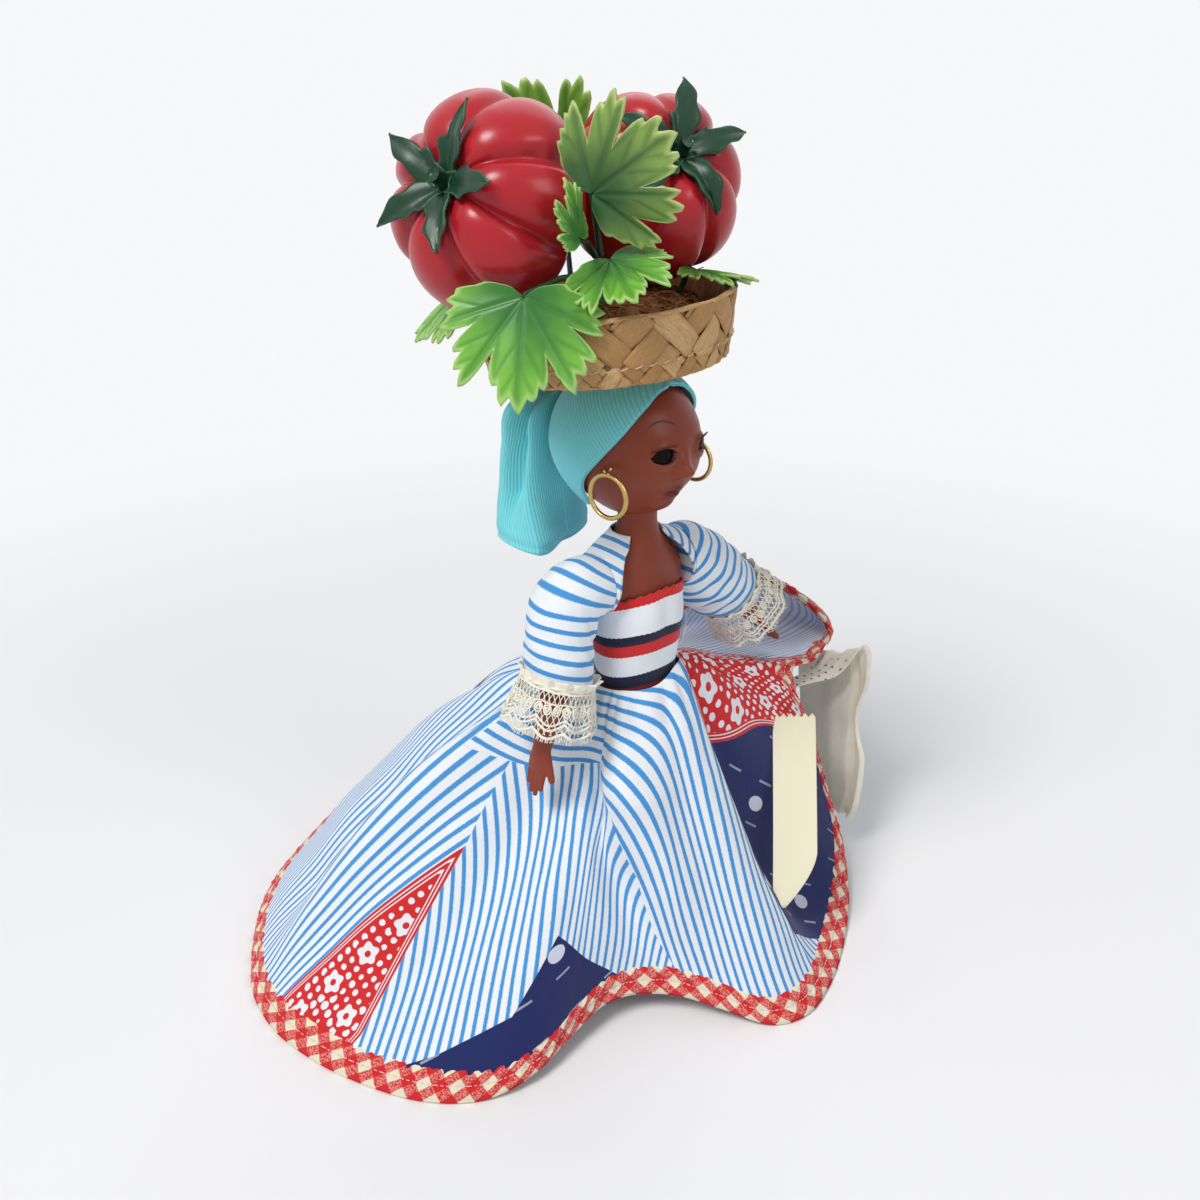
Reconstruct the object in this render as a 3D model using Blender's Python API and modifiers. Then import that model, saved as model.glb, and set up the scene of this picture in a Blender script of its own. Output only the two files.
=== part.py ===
"""Topsy turvy doll: two plastic half dolls joined at the waist under one lined skirt.

The upper doll carries a straw basket of tomatoes on its headscarf. The lower doll hangs head down inside
the skirt and faces the other way. Units are metres. The origin is where the lower doll's crown rests on
the table, +Z is up, the upper doll faces -Y and its left hand is at +X.
"""

import math

import bmesh
import bpy
from mathutils import Matrix, Vector

# Fits and gaps
SEAT_GAP = 0.0003
BALL_CLEARANCE = 0.0003
CUT_OVERRUN = 0.002

# Torso: the section sizes are half widths and half depths, and the heights are counted from the waist
SHOULDER_HEIGHT = 0.0325
SHOULDER_HALF_WIDTH = 0.0134
SHOULDER_HALF_DEPTH = 0.0078
WAIST_HALF_WIDTH = 0.0100
WAIST_HALF_DEPTH = 0.0080
RIB_HEIGHT = SHOULDER_HEIGHT * 18 / 65
RIB_HALF_WIDTH = 0.0106
RIB_HALF_DEPTH = 0.0086
BUST_HEIGHT = SHOULDER_HEIGHT * 38 / 65
BUST_HALF_WIDTH = 0.0118
BUST_HALF_DEPTH = 0.0102
CHEST_HEIGHT = SHOULDER_HEIGHT * 54 / 65
CHEST_HALF_WIDTH = 0.0120
CHEST_HALF_DEPTH = 0.0094
COLLAR_RISE = 0.0070
COLLAR_HALF_WIDTH = 0.0086
COLLAR_HALF_DEPTH = 0.0064
COLLAR_HEIGHT = SHOULDER_HEIGHT + COLLAR_RISE
NECK_RISE = 0.0040
NECK_RADIUS = 0.0052
NECK_LENGTH = 0.0090
NECK_HEIGHT = COLLAR_HEIGHT + NECK_RISE
NECK_TOP_HEIGHT = NECK_HEIGHT + NECK_LENGTH
TORSO_WALL = 0.0012
PLUG_HALF_LENGTH = 0.006

# Arms: a ball in the torso's socket, then round sections down to a flat hand
ARM_JOINT_X = 0.0186
ARM_BALL_RADIUS = 0.0050
UPPER_ARM_RADIUS = 0.0046
ELBOW_REACH = 0.023
ELBOW_RADIUS = 0.0038
WRIST_REACH = 0.040
WRIST_RADIUS = 0.0025
PALM_REACH = 0.046
PALM_HALF_WIDTH = 0.0036
PALM_HALF_THICKNESS = 0.0018
FINGER_REACH = 0.0535
FINGER_HALF_WIDTH = 0.0020
FINGER_HALF_THICKNESS = 0.0010
THUMB_REACH = 0.0500
THUMB_SPREAD = 0.0056
THUMB_RADIUS = 0.0011
ARM_PEG_RADIUS = 0.0013
ARM_PEG_REACH = 0.0070
ELASTIC_RADIUS = 0.0011
LEFT_SPLAY = math.radians(45)
RIGHT_SPLAY = math.radians(18)
LOWER_LEFT_SPLAY = math.radians(72)
LOWER_LEFT_SWING = math.radians(60)
LOWER_RIGHT_SPLAY = math.radians(20)
LOWER_RIGHT_SWING = math.radians(100)

# Head: an egg on the neck, hollow, with round eye holes
HEAD_HALF_WIDTH = 0.0158
HEAD_HALF_DEPTH = 0.0176
HEAD_HALF_HEIGHT = 0.0175
HEAD_OVER_NECK = 0.0123
HEAD_CENTRE_HEIGHT = NECK_TOP_HEIGHT + HEAD_OVER_NECK
HEAD_BACK = 0.0022
HEAD_SIDE = 0.0010
HEAD_WALL = 0.0012
NOSE_BUMP = 0.0022
NOSE_SIDE_SHARE = 0.16
NOSE_RISE_SHARE = 0.15
NOSE_DROP_SHARE = 0.16
NECK_HOLE_RADIUS = NECK_RADIUS + BALL_CLEARANCE
UPPER_HEAD_TURN = math.radians(10)
EYE_RADIUS = 0.0040
EYE_SPREAD = 0.0062
EYE_DEPTH = 0.0122
EYE_RISE = 0.0010
EYE_AXLE_RADIUS = 0.0009
EYE_WEIGHT_RADIUS = 0.0026
EYE_WEIGHT_DROP = 0.0070
EYE_WEIGHT_BACK = 0.0055
LOWER_EYE_TURN = math.radians(45)

# Clothes on the half dolls
CLOTH = 0.0008
BODICE_OVER_CHEST = 0.0005
BODICE_TOP = CHEST_HEIGHT + BODICE_OVER_CHEST
BODICE_BOTTOM = 0.0016
JACKET_OVER_COLLAR = 0.0005
JACKET_TOP = COLLAR_HEIGHT + JACKET_OVER_COLLAR
JACKET_BOTTOM = 0.0120
JACKET_OPENING_HALF_WIDTH = 0.0088
SIDE_PLANE = 0.0136
UPPER_SLEEVE_RADIUS = 0.0094
UPPER_SLEEVE_END_RADIUS = 0.0086
LOWER_SLEEVE_RADIUS = 0.0067
LOWER_SLEEVE_END_RADIUS = 0.0062
SLEEVE_LENGTH = 0.0220
SLEEVE_MOUTH = math.radians(35)
CUFF_LENGTH = 0.0128
CUFF_FLARE = 0.0026
LOWER_CUFF_FLARE = 0.0012
SCARF_THICKNESS = 0.0009
SCARF_EDGE_TOP = 0.0100
SCARF_EDGE_BOTTOM = 0.0040
CROWN_FLAT = 0.0005

# Standing height of the waist, where the two dolls meet, over the lower doll's crown
WAIST_HEIGHT = HEAD_CENTRE_HEIGHT + HEAD_HALF_HEIGHT + SEAT_GAP + SCARF_THICKNESS - CROWN_FLAT

# Hanging tail of the upper headscarf
TAIL_LENGTH = 0.0430
TAIL_TOP_DROP = 0.0055
TAIL_HALF_WIDTH = 0.0142
TAIL_NECK_HALF_WIDTH = 0.0080
TAIL_HALF_THICKNESS = 0.0064
TAIL_NECK_HALF_THICKNESS = 0.0050
TAIL_BACK = 0.0252
TAIL_END_BACK_SHARE = 0.96
TAIL_SIDE = 0.0030

# Rings of the tail from its top: share of the length, of the width's growth and of the thickness's growth
TAIL_SHAPE_SHARES = (
    (0.00, 0.35, 0.60),
    (0.12, 0.70, 0.80),
    (0.45, 0.85, 0.85),
    (0.75, 0.97, 1.00),
    (0.93, 1.00, 0.95),
    (1.00, 0.80, 0.50),
)

# Earrings
HOOP_RADIUS = 0.0050
HOOP_WIRE_RADIUS = 0.0005
EAR_BEARING_SHARES = (0.91, -0.40, -0.07)
EAR_POST_RADIUS = 0.0004
EAR_POST_LENGTH = 0.0050

# Basket, its filling and its fruit, placed from the crown of the upper head. The fruit and the spray are
# sized and placed in shares of the basket's radius: side, back and rise, then half width and half height
BASKET_RADIUS = 0.0270
BASKET_FLARE = 0.0022
BASKET_RIM_RADIUS = BASKET_RADIUS + BASKET_FLARE
BASKET_HEIGHT_SHARE = 146 / 270
BASKET_HEIGHT = BASKET_RADIUS * BASKET_HEIGHT_SHARE
BASKET_WALL = 0.0014
BASKET_BASE = 0.0012
BASKET_SIDE = -0.0040
BASKET_BACK = 0.0030
BASKET_TILT = math.radians(5)
BASKET_TILT_BEARING = math.radians(48)
BASKET_LIFT = 0.0012
PAD_RADIUS = 0.0036
PAD_DEPTH = 0.0020
FILLER_GAP = 0.0011
FILLER_RADIUS = BASKET_RADIUS - BASKET_WALL - FILLER_GAP
FILLER_DROP = 0.0008
FILLER_HEIGHT = BASKET_HEIGHT - FILLER_DROP
TOMATO_PLACE_SHARES = (-195 / 270, 128 / 270, 361 / 270)
TOMATO_SIZE_SHARES = (226 / 270, 162 / 270)
TOMATO_HEADING = math.radians(182)
TOMATO_PITCH = math.radians(24)
SMALL_TOMATO_PLACE_SHARES = (155 / 270, -36 / 270, 343 / 270)
SMALL_TOMATO_SIZE_SHARES = (204 / 270, 179 / 270)
SMALL_TOMATO_HEADING = math.radians(246)
SMALL_TOMATO_PITCH = math.radians(31)
TOMATO_RIBS = 7
TOMATO_RIB_SHARE = 0.085
TOMATO_DIMPLE_SHARE = 0.30
CALYX_REACH_SHARE = 170 / 270
CALYX_THICKNESS = 0.0007
CALYX_STEM_RADIUS = 0.0014
CALYX_LIFT_SHARE = 0.10
CALYX_SEAT_SHARE = 0.852
CALYX_STEM_LENGTH = 0.0040
LEAF_THICKNESS = 0.0007
LEAF_DROOP_SHARE = 0.05
LEAF_WIRE_RADIUS = 0.0007
HUB_SIZE_SHARES = (22 / 270, 81 / 270)
HUB_PLACE_SHARES = (-95 / 270, -75 / 270)

# Skirt: reach is counted from the upright axis, and the hem's table gives shares of it and of the
# waist height
SKIRT_REACH = 0.120
SKIRT_TOP_DROP = 0.0004
LINING_GAP = 0.0006
BINDING_WIDTH = 0.0085
HEM_GAP = 0.0028
BINDING_THICKNESS = 0.0018
WAISTBAND_HALF_HEIGHT = 0.0013
WAISTBAND_THICKNESS = 0.0011
SKIRT_WAIST_HALF_WIDTH = WAIST_HALF_WIDTH + WAISTBAND_THICKNESS + 2 * SEAT_GAP
SKIRT_WAIST_HALF_DEPTH = WAIST_HALF_DEPTH + WAISTBAND_THICKNESS + 2 * SEAT_GAP
MERIDIANS = 54
SKIRT_ROW_SHARES = (0.00, 0.08, 0.22, 0.37, 0.53, 0.69, 0.85, 1.00)
BINDING_ROW_SHARES = (0.0, 0.5, 1.0)
HEM_SAMPLES = 40

# Bearing in degrees, then reach and height shares of three points of each fold line: shoulder, shin and hem
FOLD_SHARES = (
    (0, 0.280, 0.920, 0.780, 0.740, 0.690, 0.860),
    (5, 0.285, 0.900, 0.980, 0.640, 0.670, 0.950),
    (11, 0.300, 0.860, 1.000, 0.620, 0.640, 1.020),
    (18, 0.330, 0.830, 0.980, 0.600, 0.600, 1.060),
    (27, 0.370, 0.800, 0.970, 0.580, 0.575, 1.020),
    (38, 0.400, 0.800, 0.890, 0.550, 0.650, 0.800),
    (50, 0.433, 0.850, 0.830, 0.490, 0.760, 0.520),
    (64, 0.467, 0.950, 0.800, 0.430, 0.860, 0.240),
    (79, 0.490, 0.960, 0.760, 0.370, 0.960, 0.006),
    (96, 0.475, 0.950, 0.740, 0.330, 0.990, 0.003),
    (118, 0.450, 0.950, 0.690, 0.330, 0.938, 0.003),
    (132, 0.445, 0.960, 0.690, 0.350, 0.925, 0.003),
    (148, 0.433, 0.950, 0.690, 0.385, 0.888, 0.003),
    (158, 0.300, 0.850, 0.617, 0.360, 0.847, 0.003),
    (167, 0.210, 0.745, 0.517, 0.310, 0.786, 0.003),
    (176, 0.167, 0.690, 0.450, 0.262, 0.723, 0.003),
    (186, 0.158, 0.667, 0.417, 0.262, 0.658, 0.003),
    (195, 0.158, 0.690, 0.383, 0.286, 0.583, 0.003),
    (202, 0.165, 0.700, 0.340, 0.280, 0.500, 0.032),
    (207, 0.185, 0.715, 0.300, 0.290, 0.380, 0.055),
    (214, 0.195, 0.730, 0.265, 0.310, 0.300, 0.080),
    (228, 0.192, 0.725, 0.215, 0.340, 0.262, 0.090),
    (248, 0.180, 0.715, 0.215, 0.310, 0.275, 0.080),
    (262, 0.175, 0.740, 0.262, 0.250, 0.330, 0.050),
    (274, 0.190, 0.760, 0.310, 0.200, 0.417, 0.003),
    (284, 0.200, 0.770, 0.333, 0.190, 0.464, 0.003),
    (297, 0.200, 0.760, 0.325, 0.190, 0.481, 0.003),
    (311, 0.183, 0.714, 0.250, 0.214, 0.503, 0.003),
    (327, 0.175, 0.786, 0.333, 0.238, 0.549, 0.040),
    (339, 0.217, 0.929, 0.417, 0.476, 0.587, 0.130),
    (345, 0.250, 0.952, 0.450, 0.619, 0.573, 0.300),
    (349, 0.260, 0.952, 0.430, 0.800, 0.530, 0.560),
    (352, 0.265, 0.950, 0.380, 0.890, 0.470, 0.835),
    (356, 0.270, 0.940, 0.480, 0.840, 0.600, 0.810),
)

# Leaves: name, then the wire's foot, the leaf's root, its tip and the way that its upper side faces, in
# shares of the basket's radius
LEAF_PLACE_SHARES = (
    ("leaf_front_low", (-0.45, -0.28, 0.80), (-1.21, -0.24, 0.76), (-1.53, -0.33, -0.02), (-0.80, -0.59, 0.30)),
    ("leaf_front_middle", (-0.42, -0.38, 0.70), (-0.56, -0.54, 0.92), (-0.91, -1.01, 0.69), (-0.60, -0.40, 0.70)),
    ("leaf_front_strip", (-0.38, -0.26, 0.90), (-0.87, -0.54, 1.12), (-1.01, -0.58, 1.54), (0.20, -0.90, 0.00)),
    ("leaf_front_high", (-0.31, -0.26, 0.90), (-0.66, -0.50, 1.38), (-0.50, -1.14, 1.76), (-0.80, -0.59, 0.11)),
    ("leaf_top_back", (0.42, 0.68, 0.42), (0.63, 0.86, 1.38), (0.27, 1.07, 2.18), (0.70, 0.60, 0.20)),
    ("leaf_left_low", (-0.26, 0.46, 0.57), (-0.36, 1.06, 0.72), (-0.72, 1.58, 0.20), (-0.50, 0.40, 0.70)),
    ("leaf_right_low", (0.30, -0.55, 0.51), (0.43, -0.61, 0.68), (0.56, -1.14, 0.58), (0.30, -0.30, 1.00)),
)

# Half angle and length share of the lobes on one side of a leaf, and the narrow gaps between them
LEAF_LOBE_SHARES = (
    (0, 1.00),
    (9, 0.74),
    (17, 0.84),
    (26, 0.40),
    (38, 0.80),
    (48, 0.52),
    (58, 0.74),
    (72, 0.30),
    (88, 0.52),
    (104, 0.34),
    (120, 0.14),
)

# Apron of the lower doll: bearing in degrees, then reach and height shares as on the skirt, then its half
# width in shares of its length
APRON_LENGTH = 0.110
APRON_THICKNESS = 0.0008
APRON_LINE_SHARES = (
    (-3, 0.108, 0.930, 0.024),
    (-3, 0.110, 0.890, 0.026),
    (-3, 0.200, 0.835, 0.026),
    (-3, 0.330, 0.780, 0.024),
    (-3, 0.450, 0.745, 0.022),
    (-4, 0.545, 0.740, 0.026),
    (-5, 0.610, 0.745, 0.045),
    (-7, 0.655, 0.785, 0.066),
    (-9, 0.672, 0.720, 0.070),
    (-10, 0.668, 0.550, 0.064),
    (-11, 0.664, 0.400, 0.062),
    (-12, 0.660, 0.250, 0.055),
    (-12, 0.655, 0.170, 0.035),
)

# Bare ribbon tag on the right of the skirt: bearing in degrees, then reach and height shares of its two
# ends
TAG_WIDTH = 0.0105
TAG_THICKNESS = 0.0004
TAG_TOP_SHARES = (-17, 0.434, 0.735)
TAG_FOOT_SHARES = (-61, 0.392, 0.272)
TAG_SIDE_BEARING = math.radians(-42)
TAG_TEETH = 5
TAG_TOOTH_DEPTH = 0.0012

SEGMENTS = 16

collection = None
cutters = None
palette = {}


def clear_scene():
    """Removes what the startup scene holds and makes the two collections."""
    global collection, cutters
    for obj in list(bpy.data.objects):
        bpy.data.objects.remove(obj, do_unlink=True)
    collection = bpy.data.collections.new("topsy_turvy_doll")
    cutters = bpy.data.collections.new("cutters")
    for made in (collection, cutters):
        bpy.context.scene.collection.children.link(made)


def make_materials():
    """One Principled material for each finish: colour, roughness and metallic value."""
    finishes = {
        "brown_plastic": ((0.20, 0.055, 0.035), 0.42, 0.0),
        "eye_plastic": ((0.05, 0.02, 0.015), 0.15, 0.0),
        "rubber": ((0.55, 0.45, 0.32), 0.8, 0.0),
        "aqua_knit": ((0.16, 0.52, 0.56), 0.85, 0.0),
        "striped_cloth": ((0.60, 0.70, 0.80), 0.85, 0.0),
        "bodice_knit": ((0.75, 0.77, 0.78), 0.85, 0.0),
        "lining_cloth": ((0.72, 0.80, 0.88), 0.85, 0.0),
        "red_gingham": ((0.72, 0.08, 0.07), 0.85, 0.0),
        "cream_lace": ((0.80, 0.77, 0.62), 0.9, 0.0),
        "straw": ((0.42, 0.24, 0.09), 0.7, 0.0),
        "raffia": ((0.45, 0.22, 0.08), 0.8, 0.0),
        "red_plastic": ((0.62, 0.03, 0.035), 0.28, 0.0),
        "calyx_green": ((0.03, 0.14, 0.07), 0.5, 0.0),
        "leaf_green": ((0.25, 0.52, 0.10), 0.35, 0.0),
        "brass": ((0.60, 0.42, 0.14), 0.3, 1.0),
        "satin": ((0.80, 0.78, 0.62), 0.5, 0.0),
    }
    for name, (colour, roughness, metallic) in finishes.items():
        material = bpy.data.materials.new(name)
        material.use_nodes = True
        shader = material.node_tree.nodes["Principled BSDF"]
        shader.inputs["Base Color"].default_value = (*colour, 1)
        shader.inputs["Roughness"].default_value = roughness
        shader.inputs["Metallic"].default_value = metallic
        palette[name] = material


def frame(name, matrix, parent=None):
    """An empty that carries the pieces of one body."""
    empty = bpy.data.objects.new(name, None)
    collection.objects.link(empty)
    empty.parent = parent
    empty.matrix_basis = matrix
    return empty


def place(name, mesh, parent=None, finish=None, smooth=True):
    """Links a mesh as a part, or as a cutter when it has no finish."""
    obj = bpy.data.objects.new(name, mesh)
    (collection if finish else cutters).objects.link(obj)
    obj.parent = parent
    if finish:
        mesh.materials.append(palette[finish])
        if smooth:
            mesh.shade_smooth()
            mesh.set_sharp_from_angle(angle=math.radians(40))
    else:
        obj.hide_render = True
        obj.display_type = "WIRE"
    return obj


def mesh_from(bm, name):
    """Turns a bmesh into a mesh with its normals facing out."""
    bmesh.ops.recalc_face_normals(bm, faces=bm.faces)
    mesh = bpy.data.meshes.new(name)
    bm.to_mesh(mesh)
    bm.free()
    return mesh


def ring_grid(bm, rings, cyclic=True, caps=False):
    """Quads between rings of equal length, with flat caps when asked for."""
    made = [[bm.verts.new(point) for point in ring] for ring in rings]
    count = len(rings[0])
    last = count if cyclic else count - 1
    for lower, upper in zip(made, made[1:]):
        for i in range(last):
            j = (i + 1) % count
            bm.faces.new((lower[i], lower[j], upper[j], upper[i]))
    if caps:
        bm.faces.new(made[0])
        bm.faces.new(list(reversed(made[-1])))
    return made


def loft(name, rings, parent, finish):
    """A closed solid between unlike sections."""
    bm = bmesh.new()
    ring_grid(bm, rings, caps=True)
    return place(name, mesh_from(bm, name), parent, finish)


def shell(name, rings, thickness, parent, finish, cyclic=True, outward=True):
    """An open surface made solid on its outer or inner side."""
    bm = bmesh.new()
    ring_grid(bm, rings, cyclic)
    mesh = bpy.data.meshes.new(name)
    bm.to_mesh(mesh)
    bm.free()
    obj = place(name, mesh, parent, finish)
    solid = obj.modifiers.new("thickness", "SOLIDIFY")
    solid.thickness = thickness
    solid.offset = 1 if outward else -1
    return obj


def turned(name, profile, parent, finish, steps=SEGMENTS):
    """A closed profile of (radius, height) points turned round the local Z axis."""
    bm = bmesh.new()
    verts = [bm.verts.new((radius, 0, height)) for radius, height in profile]
    closed = min(radius for radius, _ in profile) > 0
    for a, b in zip(verts, verts[1:] + (verts[:1] if closed else [])):
        bm.edges.new((a, b))
    mesh = bpy.data.meshes.new(name)
    bm.to_mesh(mesh)
    bm.free()
    obj = place(name, mesh, parent, finish, smooth=False)
    screw = obj.modifiers.new("turn", "SCREW")
    screw.axis = "Z"
    screw.steps = steps
    screw.render_steps = steps
    screw.use_merge_vertices = True
    screw.merge_threshold = SEAT_GAP / 30
    screw.use_smooth_shade = True
    return obj


def sphere_mesh(name, radius, segments=12, rings=8):
    bm = bmesh.new()
    bmesh.ops.create_uvsphere(bm, u_segments=segments, v_segments=rings, radius=radius)
    return mesh_from(bm, name)


def box_mesh(name, low, high):
    bm = bmesh.new()
    bmesh.ops.create_cube(bm, size=1)
    size = Vector(high) - Vector(low)
    middle = (Vector(high) + Vector(low)) / 2
    for vert in bm.verts:
        vert.co = Vector((vert.co.x * size.x, vert.co.y * size.y, vert.co.z * size.z)) + middle
    return mesh_from(bm, name)


def rod_mesh(name, start, end, radius, segments=10):
    """A round rod between two points."""
    bm = bmesh.new()
    start, end = Vector(start), Vector(end)
    along = end - start
    turn = along.to_track_quat("Z", "Y").to_matrix().to_4x4()
    bmesh.ops.create_cone(
        bm,
        cap_ends=True,
        segments=segments,
        radius1=radius,
        radius2=radius,
        depth=along.length,
        matrix=Matrix.Translation((start + end) / 2) @ turn,
    )
    return mesh_from(bm, name)


def boolean(obj, other, operation="DIFFERENCE"):
    modifier = obj.modifiers.new(operation.lower(), "BOOLEAN")
    modifier.operation = operation
    modifier.object = other
    return modifier


def ring_of(width, depth, height, count=SEGMENTS, middle=(0, 0)):
    """Points of an ellipse in a level plane, anticlockwise from +X."""
    angles = [2 * math.pi * i / count for i in range(count)]
    return [Vector((middle[0] + width * math.cos(a), middle[1] + depth * math.sin(a), height)) for a in angles]


def bezier(points, t):
    a, b, c, d = points
    s = 1 - t
    return a * s**3 + b * 3 * s * s * t + c * 3 * s * t * t + d * t**3


def smooth_between(p0, p1, p2, p3, t):
    """Catmull and Rom's curve between p1 and p2."""
    return (
        p1 * 2 + (p2 - p0) * t + (p0 * 2 - p1 * 5 + p2 * 4 - p3) * t * t + (p1 * 3 - p0 - p2 * 3 + p3) * t**3
    ) / 2


TORSO_SECTIONS = (
    (0.0, WAIST_HALF_WIDTH, WAIST_HALF_DEPTH),
    (RIB_HEIGHT, RIB_HALF_WIDTH, RIB_HALF_DEPTH),
    (BUST_HEIGHT, BUST_HALF_WIDTH, BUST_HALF_DEPTH),
    (CHEST_HEIGHT, CHEST_HALF_WIDTH, CHEST_HALF_DEPTH),
    (SHOULDER_HEIGHT, SHOULDER_HALF_WIDTH, SHOULDER_HALF_DEPTH),
    (COLLAR_HEIGHT, COLLAR_HALF_WIDTH, COLLAR_HALF_DEPTH),
    (NECK_HEIGHT, NECK_RADIUS, NECK_RADIUS),
    (NECK_TOP_HEIGHT, NECK_RADIUS, NECK_RADIUS),
)


def torso_size(height):
    """Half width and half depth of the torso at a height above the waist."""
    for (low, w0, d0), (high, w1, d1) in zip(TORSO_SECTIONS, TORSO_SECTIONS[1:]):
        if height <= high:
            t = (height - low) / (high - low)
            return w0 + (w1 - w0) * t, d0 + (d1 - d0) * t
    return NECK_RADIUS, NECK_RADIUS


def torso_rings(low, high, offset):
    """Rings that follow the torso at an offset, from one height to another."""
    heights = [low] + [section[0] for section in TORSO_SECTIONS if low < section[0] < high] + [high]
    rings = []
    for height in heights:
        width, depth = torso_size(height)
        rings.append(ring_of(width + offset, depth + offset, height))
    return rings


def make_torso(half, parent):
    """Hollow torso with its neck, open at the waist and at the arm sockets."""
    name = half + "_torso"
    heights = [SEAT_GAP / 2] + [section[0] for section in TORSO_SECTIONS[1:]]
    rings = [ring_of(*torso_size(height), height) for height in heights]
    torso = shell(name, rings, TORSO_WALL, parent, "brown_plastic", outward=False)
    for side, sign in (("left", 1), ("right", -1)):
        socket = place(f"{name}_{side}_socket", sphere_mesh("socket", ARM_BALL_RADIUS + BALL_CLEARANCE), parent)
        socket.location = (sign * ARM_JOINT_X, 0, SHOULDER_HEIGHT)
        boolean(torso, socket)
        inner = (sign * (ARM_JOINT_X - 2 * ARM_PEG_REACH), 0, SHOULDER_HEIGHT)
        outer = (sign * ARM_JOINT_X, 0, SHOULDER_HEIGHT)
        hole = rod_mesh("hole", inner, outer, ARM_PEG_RADIUS + BALL_CLEARANCE)
        boolean(torso, place(f"{name}_{side}_peg_hole", hole, parent))
    return torso


def make_elastic(half, parent):
    """Rubber cord that pulls both arm balls into their sockets."""
    end = ARM_JOINT_X - ARM_PEG_REACH - SEAT_GAP
    mesh = rod_mesh("elastic", (-end, 0, SHOULDER_HEIGHT), (end, 0, SHOULDER_HEIGHT), ELASTIC_RADIUS)
    return place(half + "_arm_elastic", mesh, parent, "rubber")


def make_plug():
    """Plug glued inside both open waists, which joins the two halves."""
    width = WAIST_HALF_WIDTH - TORSO_WALL - SEAT_GAP
    depth = WAIST_HALF_DEPTH - TORSO_WALL - SEAT_GAP
    low, high = WAIST_HEIGHT - PLUG_HALF_LENGTH, WAIST_HEIGHT + PLUG_HALF_LENGTH
    return loft("waist_plug", [ring_of(width, depth, low), ring_of(width, depth, high)], None, "brown_plastic")


def make_arm(half, side, splay, parent):
    """Arm with a shoulder ball, a mitten hand and a thumb, running down local -Z from its joint."""
    sign = 1 if side == "left" else -1
    name = f"{half}_arm_{side}"
    cap = [
        (ARM_BALL_RADIUS * math.cos(math.radians(a)), ARM_BALL_RADIUS * math.sin(math.radians(a)))
        for a in (75, 50, 25, 0)
    ]
    rings = [ring_of(radius, radius, height, 12) for radius, height in cap]
    rings += [
        ring_of(UPPER_ARM_RADIUS, UPPER_ARM_RADIUS, -ARM_BALL_RADIUS, 12),
        ring_of(ELBOW_RADIUS, ELBOW_RADIUS, -ELBOW_REACH, 12),
        ring_of(WRIST_RADIUS, WRIST_RADIUS, -WRIST_REACH, 12),
        ring_of(PALM_HALF_THICKNESS, PALM_HALF_WIDTH, -PALM_REACH, 12),
        ring_of(FINGER_HALF_THICKNESS, FINGER_HALF_WIDTH, -FINGER_REACH, 12),
    ]
    arm = loft(name, rings, parent, "brown_plastic")
    lean = Matrix.Rotation(sign * splay, 3, "Y")
    peg_tip = lean @ Vector((-sign * ARM_PEG_REACH, 0, 0))
    peg = place(name + "_peg", rod_mesh("peg", (0, 0, 0), peg_tip, ARM_PEG_RADIUS), parent)
    boolean(arm, peg, "UNION")
    thumb_root = (0, -WRIST_RADIUS / 2, -WRIST_REACH)
    thumb_tip = (-sign * PALM_HALF_THICKNESS, -THUMB_SPREAD, -THUMB_REACH)
    thumb = place(name + "_thumb", rod_mesh("thumb", thumb_root, thumb_tip, THUMB_RADIUS, 8), parent)
    boolean(arm, thumb, "UNION")
    return arm


def make_sleeve(half, side, parent, cutter, radius, end_radius, finish):
    """Sleeve with a round shoulder about the joint, cut flat where it meets the body."""
    angles = (SLEEVE_MOUTH, (SLEEVE_MOUTH + math.pi / 2) / 2, math.pi / 2)
    outer = [(radius * math.sin(a), radius * math.cos(a)) for a in angles]
    outer += [(radius, -SLEEVE_LENGTH / 2), (end_radius, -SLEEVE_LENGTH)]
    inner_radius = radius - CLOTH
    inner = [(end_radius - CLOTH, -SLEEVE_LENGTH), (inner_radius, -SLEEVE_LENGTH / 2)]
    inner += [(inner_radius * math.sin(a), inner_radius * math.cos(a)) for a in reversed(angles)]
    sleeve = turned(f"{half}_sleeve_{side}", outer + inner, parent, finish)
    boolean(sleeve, cutter)
    return sleeve


def make_cuff(half, side, parent, end_radius, flare, finish):
    """Flared frill at the end of a sleeve."""
    top, bottom = -SLEEVE_LENGTH - SEAT_GAP, -SLEEVE_LENGTH - CUFF_LENGTH
    profile = [
        (end_radius, top),
        (end_radius + flare, bottom),
        (end_radius + flare - CLOTH, bottom),
        (end_radius - CLOTH, top),
    ]
    return turned(f"{half}_cuff_{side}", profile, parent, finish)


def head_point(direction, offset=0.0):
    """Surface point of the head in a direction from its centre, with its jaw, nape and nose."""
    x, y, z = direction
    low = max(0.0, -z)
    narrow = 1 - 0.26 * low**1.6
    jaw = 1 - 0.16 * low**2 if y < 0 else 1 - 0.30 * low**1.5
    point = Vector((x * HEAD_HALF_WIDTH * narrow, y * HEAD_HALF_DEPTH * jaw, z * HEAD_HALF_HEIGHT))
    if y < 0:
        rise = (z + NOSE_DROP_SHARE) / NOSE_RISE_SHARE
        nose = math.exp(-((x / NOSE_SIDE_SHARE) ** 2) - rise**2)
        point.y -= NOSE_BUMP * nose
    return point + Vector(direction).normalized() * offset


def head_mesh(name, offset, segments=20, rings=13):
    bm = bmesh.new()
    bmesh.ops.create_uvsphere(bm, u_segments=segments, v_segments=rings, radius=1)
    for vert in bm.verts:
        vert.co = head_point(vert.co, offset)
    return mesh_from(bm, name)


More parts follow.
